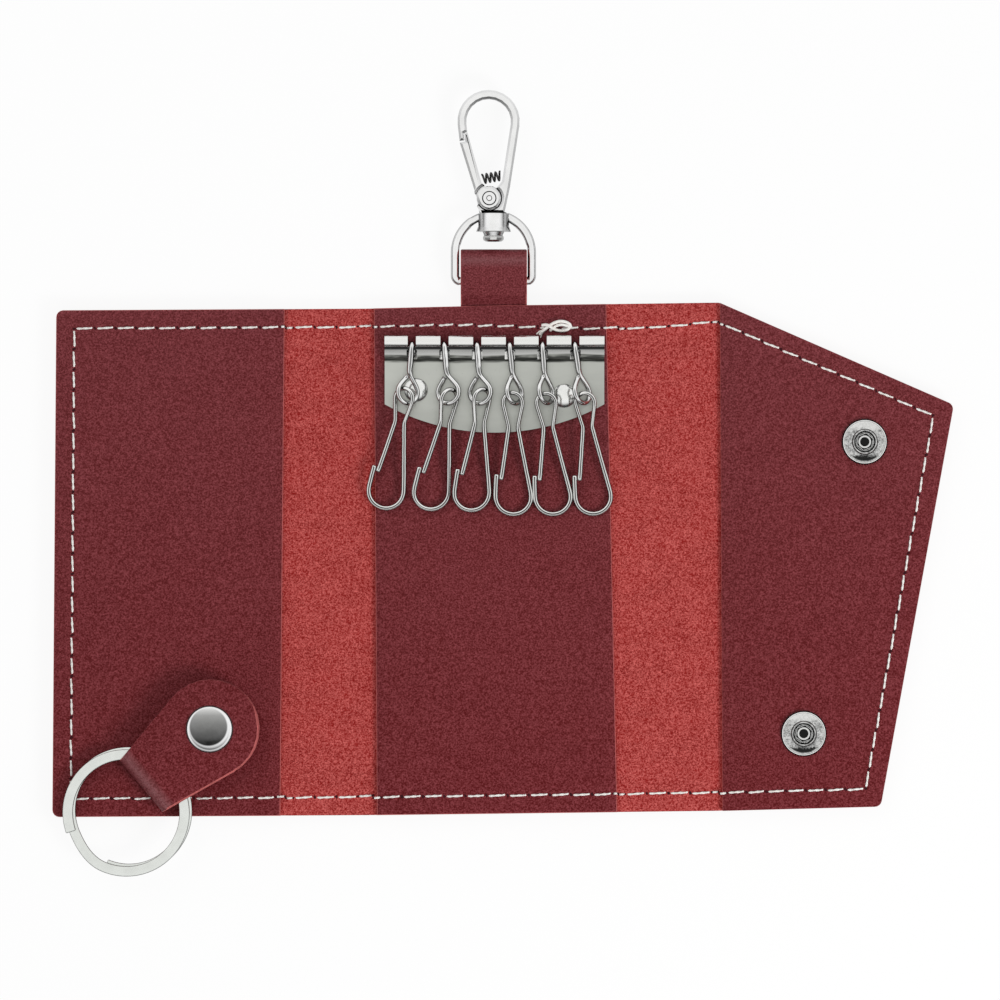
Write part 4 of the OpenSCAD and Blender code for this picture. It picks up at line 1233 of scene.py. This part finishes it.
def drawn_wire(name, node, body, make, wire, slot, thicken=None):
    """A smooth round wire from the faceted one: rings are added along it, then it is subdivided.

    The wire is fattened a little first, by as much as the subdivision draws it in."""
    most_rings, drawn_in, bent = 40, 0.046, math.radians(70)
    piece = own_copy(name, node)
    bpy.ops.mesh.tris_convert_to_quads(face_threshold=bent, shape_threshold=bent)
    for count in range(most_rings, 0, -1):
        low, high = (count + 0.5) * wire, (count + 1.5) * wire
        if choose(piece, "edges", lambda e: low < e.calc_length() <= high):
            bpy.ops.mesh.subdivide(number_cuts=count)
    bpy.ops.mesh.select_mode(type="VERT")
    bpy.ops.mesh.select_all(action="SELECT")
    bpy.ops.transform.shrink_fatten(value=wire * drawn_in)
    if thicken:
        thicken(piece)
    close_surface()
    stop_editing()
    modify(piece, "SUBSURF", levels=2, render_levels=2)
    pick(piece)
    bpy.ops.object.shade_smooth()
    paint(piece, make)
    fit(piece, body, slot, node)


class CASE_OT_plate(bpy.types.Operator):
    """Makes the key plate with rounded edges, and finishes its rivets"""

    bl_idname = "key_case.plate"
    bl_label = "Key plate"

    def execute(self, context):
        piece = own_copy("plate", "key_plate")
        merge_flats()
        close_surface()
        stop_editing()
        modify(piece, "BEVEL", width=settings("metal").plate_bevel, segments=2, limit_method="ANGLE",
               angle_limit=math.radians(40), harden_normals=False)
        smooth(piece)
        modify(piece, "WEIGHTED_NORMAL", keep_sharp=True, weight=100)
        paint(piece, nickel_sheet)
        fit(piece, "middle", "nickel", "key_plate")
        self.turned_tail()
        for node in ("plate_rivet_left", "plate_rivet_right"):
            self.rivet_head(node)
        return {"FINISHED"}

    def rivet_head(self, node):
        """A rivet with a full round dome, set tight on the sheet."""
        look = settings("metal")
        low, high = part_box(node)
        radius = (high.x - low.x) / 2
        centre = Vector(((low.x + high.x) / 2, (low.y + high.y) / 2, high.z))
        shape = [(share * radius, -look.rivet * share ** 2.6) for share in (0, 0.25, 0.5, 0.7, 0.85, 0.95, 1)]
        shape += [(share * radius, -deep * look.rivet)
                  for share, deep in ((1, 1.25), (0.4, 1.25), (0.4, 2), (0, 2))]
        piece = lathe("head_" + node, shape, centre)
        smooth(piece, 60)
        paint(piece, nickel_plate)
        fit(piece, "middle", "nickel", node)

    def turned_tail(self):
        """The sheet's end, turned back under the shelf, that shows through the windows."""
        look = settings("metal")
        low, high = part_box("key_plate")
        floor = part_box("panel_middle")[1].z + 0.1 * look.tail_sheet
        pick()
        bpy.ops.mesh.primitive_plane_add(size=1)
        piece = bpy.context.object
        piece.name = "plate_tail"
        edit(piece)
        bpy.ops.transform.resize(value=(high.x - low.x - 4 * look.plate_bevel, look.tail, 1))
        bpy.ops.transform.translate(value=(
            (low.x + high.x) / 2, high.y - look.rolled + 2 * look.tail_sheet + look.tail / 2, floor))
        bpy.ops.mesh.extrude_region_move(TRANSFORM_OT_translate={"value": UP * look.tail_sheet})
        close_surface()
        bpy.ops.mesh.bevel(offset=look.tail_sheet / 3, segments=2, affect="EDGES")
        stop_editing()
        smooth(piece)
        paint(piece, nickel_plate)
        fit(piece, "middle", "nickel")


def refinish(node, make):
    """Gives a CAD node that stays as it is a better material."""
    for slot in frame["nodes"][node].material_slots:
        slot.material = finish_named(make.__name__, make)


class CASE_OT_hooks(bpy.types.Operator):
    """Draws the six links and the six key hooks as smooth wires"""

    bl_idname = "key_case.hooks"
    bl_label = "Links and hooks"

    def execute(self, context):
        for i in range(1, 7):
            for kind, make, wire, slot, thicken in (
                    ("link", bright_wire, LINK_WIRE, "nickel", self.thicken_stem),
                    ("hook", bent_wire, HOOK_WIRE, "spring_steel", self.fill_legs)):
                node = f"{kind}_{i}"
                drawn_wire("key_" + node, node, node, make, wire, slot, thicken)
        return {"FINISHED"}

    def thicken_stem(self, link):
        """The stem holds both ends of the link's wire, so it is thicker than the eye."""
        look = settings("metal")
        top = max(v.co.y for v in bmesh.from_edit_mesh(link.data).verts)
        choose(link, "verts", lambda v: look.stem_from < top - v.co.y < look.stem_to)
        bpy.ops.transform.shrink_fatten(value=look.stem / 2)
        self.close_eye(link, top)

    def close_eye(self, link, top):
        """The eye's free end reaches up to the stem."""
        look = settings("metal")
        count = choose(link, "edges", lambda e: e.calc_face_angle(0) > math.radians(75)
                       and top - e.verts[0].co.y > look.stem_from)
        if not count:
            raise RuntimeError("the link's free end isn't found")
        rim = {v.index for v in bmesh.from_edit_mesh(link.data).verts if v.select}
        choose(link, "faces", lambda f: all(v.index in rim for v in f.verts))
        ends = [f for f in bmesh.from_edit_mesh(link.data).faces if f.select]
        outward = sum((f.normal * f.calc_area() for f in ends), Vector()).normalized()
        bpy.ops.mesh.extrude_region_move(TRANSFORM_OT_translate={"value": outward * look.eye_reach})

    def fill_legs(self, hook):
        """The legs and the bow are thicker than the head, and the bow spreads a little."""
        look = settings("metal")
        spread = 1.012
        top = max(v.co.y for v in bmesh.from_edit_mesh(hook.data).verts)
        choose(hook, "verts", lambda v: top - v.co.y > look.neck)
        bpy.ops.transform.shrink_fatten(value=look.hook_legs / 2)
        for start in (1.4 * look.neck, 1.8 * look.neck, 2.2 * look.neck):
            choose(hook, "verts", lambda v: top - v.co.y > start)
            chosen = [v.co.x for v in bmesh.from_edit_mesh(hook.data).verts if v.select]
            bpy.ops.transform.resize(value=(spread, 1, 1), center_override=(
                (min(chosen) + max(chosen)) / 2, 0, 0))


class CASE_OT_snaps(bpy.types.Operator):
    """Makes the snaps' domed caps and milled sockets with their springs, and finishes the studs"""

    bl_idname = "key_case.snaps"
    bl_label = "Snaps"

    def execute(self, context):
        tab_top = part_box("tab")[1].z
        for naming, body, leather, out in (("tab_{}", "tab", tab_top, 1),
                                           ("{}_upper", "right_panel", 0, -1),
                                           ("{}_lower", "right_panel", 0, -1)):
            cap, socket, spring = (naming.format(kind) for kind in ("cap", "socket", "spring"))
            fit(self.domed(cap, leather, out), body, "snap_metal", cap)
            fit(self.milled(socket, -out), body, "snap_metal", socket)
            fit(self.spring(spring), body, "spring_steel", spring)
        for node in ("stud_upper", "stud_lower", "tab_stud"):
            refinish(node, snap_plating)
        return {"FINISHED"}

    def domed(self, node, leather, out):
        """A cap: a rolled rim and a low dome, on a shank whose end is rolled open, that open end painted
        near-black as shade.
        """
        look = settings("metal")
        low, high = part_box(node)
        radius = (high.x - low.x) / 2
        centre = Vector(((low.x + high.x) / 2, (low.y + high.y) / 2, leather))
        rise = high.z - leather if out > 0 else leather - low.z
        shank = own_copy("shank_" + node, node)
        bpy.ops.mesh.bisect(plane_co=centre + UP * (out * SAME), plane_no=UP * out,
                            clear_outer=True, use_fill=True)
        bpy.ops.mesh.select_all(action="SELECT")
        merge_flats()
        end = low.z if out > 0 else high.z
        sunk = out * 0.9 * look.eyelet
        choose(shank, "faces", lambda f: abs(f.calc_center_median().z - end) < SAME)
        bpy.ops.mesh.inset(thickness=look.eyelet)
        bpy.ops.mesh.extrude_region_move(TRANSFORM_OT_translate={"value": UP * sunk})
        close_surface()
        stop_editing()
        rim = look.cap_rim
        outline = [(0, 0), (1.035, 0), (1.035, 0.06 * rim), (0.985, 0.15 * rim), (1, 0.50 * rim),
                   (0.99, 0.80 * rim), (0.97, 0.94 * rim), (0.94, rim)]
        dome = [(share, rim + (rise - rim) * (1 - (share / 0.96) ** 2))
                for share in (0.88, 0.78, 0.66, 0.54, 0.40, 0.26, 0.12, 0)]
        piece = lathe("dome_" + node, [(share * radius, z) for share, z in outline + dome], centre, out < 0)
        paint(piece, domed_cap)
        # The shank's sunk end is painted near-black: shade inside the rolled end.
        paint(shank, snap_plating, dark_line, which=lambda face: abs(face.center.z - end - sunk) < SAME)
        piece = joined([shank, piece])
        self.remember_shares(piece, centre, radius)
        smooth(piece, 50)
        return piece

    def milled(self, node, out):
        """A socket: a milled rim, a plain plate, a lip round its mouth and a collar down inside. Deep in the
        collar and round its foot it is painted near-black as shade.
        """
        look = settings("metal")
        low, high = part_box(node)
        radius = (high.x - low.x) / 2
        tall = high.z - low.z
        centre = Vector(((low.x + high.x) / 2, (low.y + high.y) / 2, low.z if out > 0 else high.z))
        rim = [(0.26, 0), (1.035, 0), (1.035, 0.03), (1, 0.08), (1, 0.36), (0.985, 0.50), (0.955, 0.56),
               (0.925, 0.54), (0.905, 0.44), (0.86, 0.45)]
        lip = [(0.64, 0.60), (0.575, 0.72), (0.55, 0.90), (0.525, 0.98), (0.50, 1), (0.475, 0.97)]
        collar = [(0.462, 0.88), (0.462, 0.18), (0.42, 0.18), (0.41, 0.36), (0.38, 0.36), (0.37, 0.18),
                  (0.26, 0.18)]
        piece = trace("milled_" + node, [centre + Vector((r * radius, 0, out * z * tall))
                                         for r, z in rim + lip + collar + rim[:1]])
        steps, between = 2 * look.teeth, 0.945
        bpy.ops.mesh.spin(steps=steps, angle=math.tau, center=centre, axis=UP)
        close_surface()

        def between_teeth(vertex):
            place = vertex.co - centre
            step = round(math.atan2(place.y, place.x) / math.tau * steps)
            return step % 2 and Vector((place.x, place.y)).length > 0.97 * radius

        # Painted shade: the faces deep in the collar, and a thin ring at the socket's foot as contact shadow.
        def is_dark(face):
            place = face.center - centre
            reach = Vector((place.x, place.y)).length / radius
            edge = reach > 0.98
            low = abs(place.z) < (0.10 if edge else 0.3) * tall
            wall = abs(face.normal.z) < 0.5 and reach > 0.44
            deep = reach < 0.468 and abs(place.z) < 0.9 * tall
            return deep and (low or wall) or low and edge

        choose(piece, "verts", between_teeth)
        bpy.ops.transform.resize(value=(between, between, 1), center_override=centre)
        stop_editing()
        paint(piece, socket_plating, dark_line, which=is_dark)
        self.remember_shares(piece, centre, radius)
        smooth(piece, 28)
        return piece

    def remember_shares(self, piece, centre, radius):
        """Keeps how far across each point lies from the middle, where the rim is at 1."""
        remember(piece, "dome", lambda place: (
            (place.x - centre.x) / radius, (place.y - centre.y) / radius, 0))

    def spring(self, node):
        """The bent wire in a socket's mouth."""
        look = settings("metal")
        points = arc(middle_of(node), look.snap_ring / 2, 20, 320, 5)
        piece = tube("wire_" + node, points, look.snap_wire, closed=True)
        smooth(piece, 50)
        paint(piece, bright_wire)
        return piece


class CASE_OT_rings(bpy.types.Operator):
    """Winds the split ring from a flat band, and makes the D-ring a smooth wire"""

    bl_idname = "key_case.rings"
    bl_label = "Rings"

    def execute(self, context):
        piece = self.wound_band()
        smooth(piece, 40)
        paint(piece, satin_plating)
        fit(piece, "ring", "bright_chrome", "split_ring")
        self.dee()
        return {"FINISHED"}

    def wound_band(self):
        """A flat band wound nearly twice. It steps down to the lower coil just before its upper end."""
        look = settings("metal")
        low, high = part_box("split_ring")
        first, wound, step, inset = 199, 672, 3, 0.05 * MM
        radius = (high.x - low.x) / 2 - look.coil_shift - look.band / 2 - inset
        pick()
        bpy.ops.mesh.primitive_plane_add(size=1)
        piece = bpy.context.object
        piece.name = "wound_ring"
        edit(piece)
        bpy.ops.transform.resize(value=(look.band, look.band_depth, 1))
        bpy.ops.transform.rotate(value=math.pi / 2, orient_axis="X", center_override=(0, 0, 0))
        bpy.ops.transform.translate(value=(radius, 0, 0))
        turned = Matrix.Rotation(math.radians(first), 4, "Z")
        mesh = bmesh.from_edit_mesh(piece.data)
        mesh.transform(Matrix.Translation(self.coil_place(0)) @ turned)
        bmesh.update_edit_mesh(piece.data)
        for done in range(0, wound, step):
            here, there = self.coil_place(done), self.coil_place(done + step)
            bpy.ops.mesh.extrude_region_move(TRANSFORM_OT_translate={"value": (0, 0, 0)})
            bpy.ops.transform.rotate(value=math.radians(step), orient_axis="Z", center_override=here)
            bpy.ops.transform.translate(value=there - here)
        close_surface()
        stop_editing()
        modify(piece, "BEVEL", width=look.band_round, segments=3, limit_method="ANGLE",
               angle_limit=math.radians(50))
        ring_axis = Vector((-0.0454, -0.0381, 0.99824))
        lean = ring_axis.rotation_difference(UP).inverted().to_matrix().to_4x4()
        piece.data.transform(Matrix.Translation((low + high) / 2) @ lean)
        return piece

    def coil_place(self, done):
        """Where the middle of the coil lies after so many degrees of winding."""
        look = settings("metal")
        step_at, step_wide, apart = 312, 44, 0.03 * MM
        share = min(1, max(0, (done - step_at) / step_wide))
        drop = share * share * (3 - 2 * share)
        level = look.band_depth / 2 + apart
        slip = look.coil_shift / 2 ** 0.5
        return Vector((-slip, -slip, level)).lerp(Vector((slip, slip, -level)), drop)

    def dee(self):
        """The D-ring, its bow a little thicker than the bar in the strap."""
        look = settings("metal")
        low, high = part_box("strap")
        middle = middle_of("clasp_rivet").x
        crown, clear = high.y + 3 * MM, 4.4 * MM

        def near_boss(place, reach):
            return place.y > crown and abs(place.x - middle) < reach

        def on_bow(vertex):
            place = vertex.co
            beside = not low.x - MM / 2 < place.x < high.x + MM / 2
            return (place.y > high.y + MM or beside) and not near_boss(place, clear)

        piece = own_copy("dee_wire", "dee_ring")
        merge_flats()
        choose(piece, "verts", on_bow)
        bpy.ops.transform.shrink_fatten(value=look.dee_swell / 2)
        close_surface()
        stop_editing()
        smooth(piece, 52)
        modify(piece, "WEIGHTED_NORMAL", keep_sharp=True, weight=50)
        paint(piece, bright_plating, boss_plating, which=lambda face: near_boss(face.center, look.boss / 2))
        fit(piece, "dee", "bright_chrome", "dee_ring")


class CASE_OT_clasp(bpy.types.Operator):
    """Makes the swivel clasp with rounded edges, its gate and its coil spring"""

    bl_idname = "key_case.clasp"
    bl_label = "Clasp"

    def execute(self, context):
        for name, node, body in (("clasp_frame", "clasp_body", "clasp"), ("clasp_gate", "gate", "gate")):
            fit(self.chamfered(name, node), body, "bright_chrome", node)
        refinish("clasp_rivet", bright_plating)
        self.post_head()
        self.pivot_rings()
        drawn_wire("gate_coil", "gate_spring", "clasp", dark_spring, COIL_WIRE, "spring_steel", self.swell)
        return {"FINISHED"}

    def chamfered(self, name, node):
        """A copy of a part of the clasp with its flat sides pared down all round."""
        look = settings("metal")
        piece = own_copy(name, node)
        merge_flats()
        close_surface()
        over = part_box("dee_ring")[1].y
        for side in (1, -1):
            choose(piece, "faces", lambda f: f.normal.z * side > 0.9 and
                   f.calc_area() > look.chamfer_least and f.calc_center_median().y > over)
            mesh = bmesh.from_edit_mesh(piece.data)
            rims = {v.co.to_tuple(7) for f in mesh.faces if f.select for v in f.verts}
            bpy.ops.mesh.inset(thickness=look.chamfer)
            choose(piece, "verts", lambda v: v.co.to_tuple(7) in rims)
            bpy.ops.transform.translate(value=(0, 0, -side * look.chamfer_depth))
        close_surface()
        stop_editing()
        paint(piece, bright_plating, clasp_edge, which=lambda face: abs(face.normal.z) <= 0.95)
        smooth(piece, 25)
        return piece

    def swell(self, coil):
        bpy.ops.transform.shrink_fatten(value=settings("metal").coil_swell / 2)

    def turned_part(self, name, profile, make, steps, angle):
        """A round part on the line of the clasp's post, from radius and distance up the case."""
        piece = lathe(name, profile, Vector(), steps=steps)
        low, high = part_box("dee_ring")
        axis = Vector(((low.x + high.x) / 2, 0, middle_of("clasp_body").z))
        piece.data.transform(Matrix.Translation(axis) @ Matrix.Rotation(-math.pi / 2, 4, "X"))
        smooth(piece, angle)
        paint(piece, make)
        fit(piece, "clasp", "bright_chrome")

    def post_head(self):
        """The faceted head that holds the clasp in the D-ring's boss, and the washer over the boss, painted
        near-black as shade in the gap.
        """
        look = settings("metal")
        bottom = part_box("clasp_body")[0].y
        wide = look.head / 2
        profile = [(0, 0), (0.74 * wide, 0), (0.96 * wide, 0.14), (wide, 0.34), (0.95 * wide, 0.52),
                   (0.80 * wide, 0.62), (0.84 * wide, 1), (0, 1)]
        self.turned_part("post_head", [(r, bottom + share * look.head_length) for r, share in profile],
                         snap_plating, 10, 20)
        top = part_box("dee_ring")[1].y
        wide = look.washer_width / 2
        # The washer is painted near-black: shade in the gap between the clasp and the boss.
        self.turned_part("post_washer", [(0, top), (wide, top), (wide, top + look.washer),
                                         (0, top + look.washer)], dark_line, 32, 30)

    def pivot_rings(self):
        """Rings of painted shade: the dark gap round the gate's rivet, and the dimple in the rivet."""
        look = settings("metal")
        low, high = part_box("clasp_rivet")
        centre = (low + high) / 2
        radius = (high.x - low.x) / 2
        for name, ring, thickness, z in (
                ("pivot_gap", radius + 0.1 * MM, look.pivot_line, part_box("gate")[1].z),
                ("pivot_dimple", 0.42 * radius, 0.5 * look.pivot_line, high.z)):
            points = arc(Vector((centre.x, centre.y, z)), ring, 0, 345, 23)
            piece = tube(name, points, thickness, closed=True, resolution=3)
            smooth(piece, 50)
            paint(piece, dark_line)
            fit(piece, "clasp", "spring_steel")


# Stage


class CASE_OT_stage(bpy.types.Operator):
    """Lays the pale floor, hangs the soft lamps and sets the camera straight above the case"""

    bl_idname = "key_case.stage"
    bl_label = "Stage"

    def execute(self, context):
        look = settings("stage")
        pick()
        bpy.ops.mesh.primitive_plane_add(size=look.floor_size, location=(0, 0, case_box[0].z))
        floor = bpy.context.object
        floor.name = "floor"
        pick(floor)
        bpy.ops.object.transform_apply(location=True, rotation=True, scale=True)
        floor.data.materials.append(finish_named("floor_paper", floor_paper))
        centre = seen_at(VIEW / 2, VIEW / 2, 0)
        for name, place, size, power in (
                ("lamp_upper_left", (-0.34, 0.42, 0.62), 0.5, 1.1),
                ("lamp_lower_right", (0.42, -0.34, 0.50), 0.26, 2.5)):
            bpy.ops.object.light_add(type="AREA", location=place)
            lamp = bpy.context.object
            lamp.name = name
            lamp.data.size = size
            lamp.data.energy = power
            lamp.visible_glossy = False
            lamp.rotation_euler = (centre - Vector(place)).to_track_quat("-Z", "Y").to_euler()
        bpy.ops.object.camera_add(location=centre + UP * look.camera_height)
        camera = bpy.context.object
        camera.data.sensor_width = SENSOR
        camera.data.lens = SENSOR * look.camera_height / (VIEW * look.pixel)
        camera.data.clip_start = 0.01
        context.scene.camera = camera
        light_the_world(context.scene)
        context.scene.view_settings.view_transform = "Standard"
        return {"FINISHED"}


def floor_paper(finish):
    """White paper that keeps a soft shadow but shows nearly white to the camera."""
    nodes = finish.tree.nodes
    finish.surface(Base_Color=settings("stage").white, Roughness=0.9, Specular_IOR_Level=0.1)
    paper = Field(finish, nodes["Principled BSDF"].outputs[0])
    glow = finish.add("ShaderNodeEmission")
    blend = finish.add("ShaderNodeMixShader", {}, {0: seen_white(finish) * 0.90, 1: paper, 2: glow})
    finish.feed(nodes["Material Output"].inputs["Surface"], blend)
    return finish.material


def seen_white(finish):
    """1 for a ray from the camera, a mirror or a clear piece, which see the paper itself."""
    camera, mirror, clear = (finish.add("ShaderNodeLightPath", output=f"Is {kind} Ray")
                             for kind in ("Camera", "Glossy", "Transmission"))
    return larger(larger(camera, mirror), clear)


def larger(a, b):
    return a.maths("MAXIMUM", a, b)


def light_the_world(scene):
    """Soft white surroundings. Metal sees a white tent with a dark seam low all round it."""
    world = bpy.data.worlds.new("studio")
    scene.world = world
    world.use_nodes = True
    finish = Finish("studio", world.node_tree)
    direction = finish.add("ShaderNodeTexCoord", output=0)
    height, north = finish.part(direction, 2), finish.part(direction, 1)
    tent = ((0.0, 0.85), (0.36, 0.60), (0.43, 0.03), (0.56, 0.03), (0.63, 0.45), (0.73, 0.90), (0.86, 1.0))
    stops = [(level, (shade, shade, shade)) for level, shade in tent] + [(1.0, (0.94, 0.94, 0.93))]
    ramp = finish.add("ShaderNodeValToRGB", {"stops": stops}, {"Fac": height * 0.5 + 0.5 + north * 0.18})
    lit = finish.mix(seen_white(finish), (0.56, 0.56, 0.56), (1, 1, 1))
    mirror = finish.add("ShaderNodeLightPath", output="Is Glossy Ray")
    finish.feed(world.node_tree.nodes["Background"].inputs["Color"], finish.mix(mirror, lit, ramp))


class CASE_PT_panel(bpy.types.Panel):
    bl_idname = "CASE_PT_panel"
    bl_label = "Key case"
    bl_space_type = "VIEW_3D"
    bl_region_type = "UI"
    bl_category = "Key case"

    def draw(self, context):
        for operator in OPERATORS:
            self.layout.operator(operator.bl_idname)
        for group in GROUPS:
            self.layout.label(text=group.title())
            for name in GROUPS[group].__annotations__:
                self.layout.prop(settings(group), name)


GROUPS = {"leather": LeatherSettings, "thread": ThreadSettings, "metal": MetalSettings,
          "stage": StageSettings}
OPERATORS = [CASE_OT_stage, CASE_OT_hide, CASE_OT_panels, CASE_OT_strap, CASE_OT_tab, CASE_OT_seam,
             CASE_OT_plate, CASE_OT_hooks, CASE_OT_snaps, CASE_OT_rings, CASE_OT_clasp]


def register():
    for name, group in GROUPS.items():
        bpy.utils.register_class(group)
        setattr(bpy.types.Scene, "key_case_" + name, bpy.props.PointerProperty(type=group))
    for kind in (*OPERATORS, CASE_PT_panel):
        bpy.utils.register_class(kind)


def unregister():
    for kind in (CASE_PT_panel, *reversed(OPERATORS)):
        bpy.utils.unregister_class(kind)
    for name, group in GROUPS.items():
        delattr(bpy.types.Scene, "key_case_" + name)
        bpy.utils.unregister_class(group)


def main():
    register()
    bpy.ops.key_case.stage()
    bpy.ops.key_case.hide()
    bpy.ops.key_case.panels()
    bpy.ops.key_case.strap()
    bpy.ops.key_case.tab()
    bpy.ops.key_case.seam()
    bpy.ops.key_case.plate()
    bpy.ops.key_case.hooks()
    bpy.ops.key_case.snaps()
    bpy.ops.key_case.rings()
    bpy.ops.key_case.clasp()


if __name__ == "__main__":
    main()
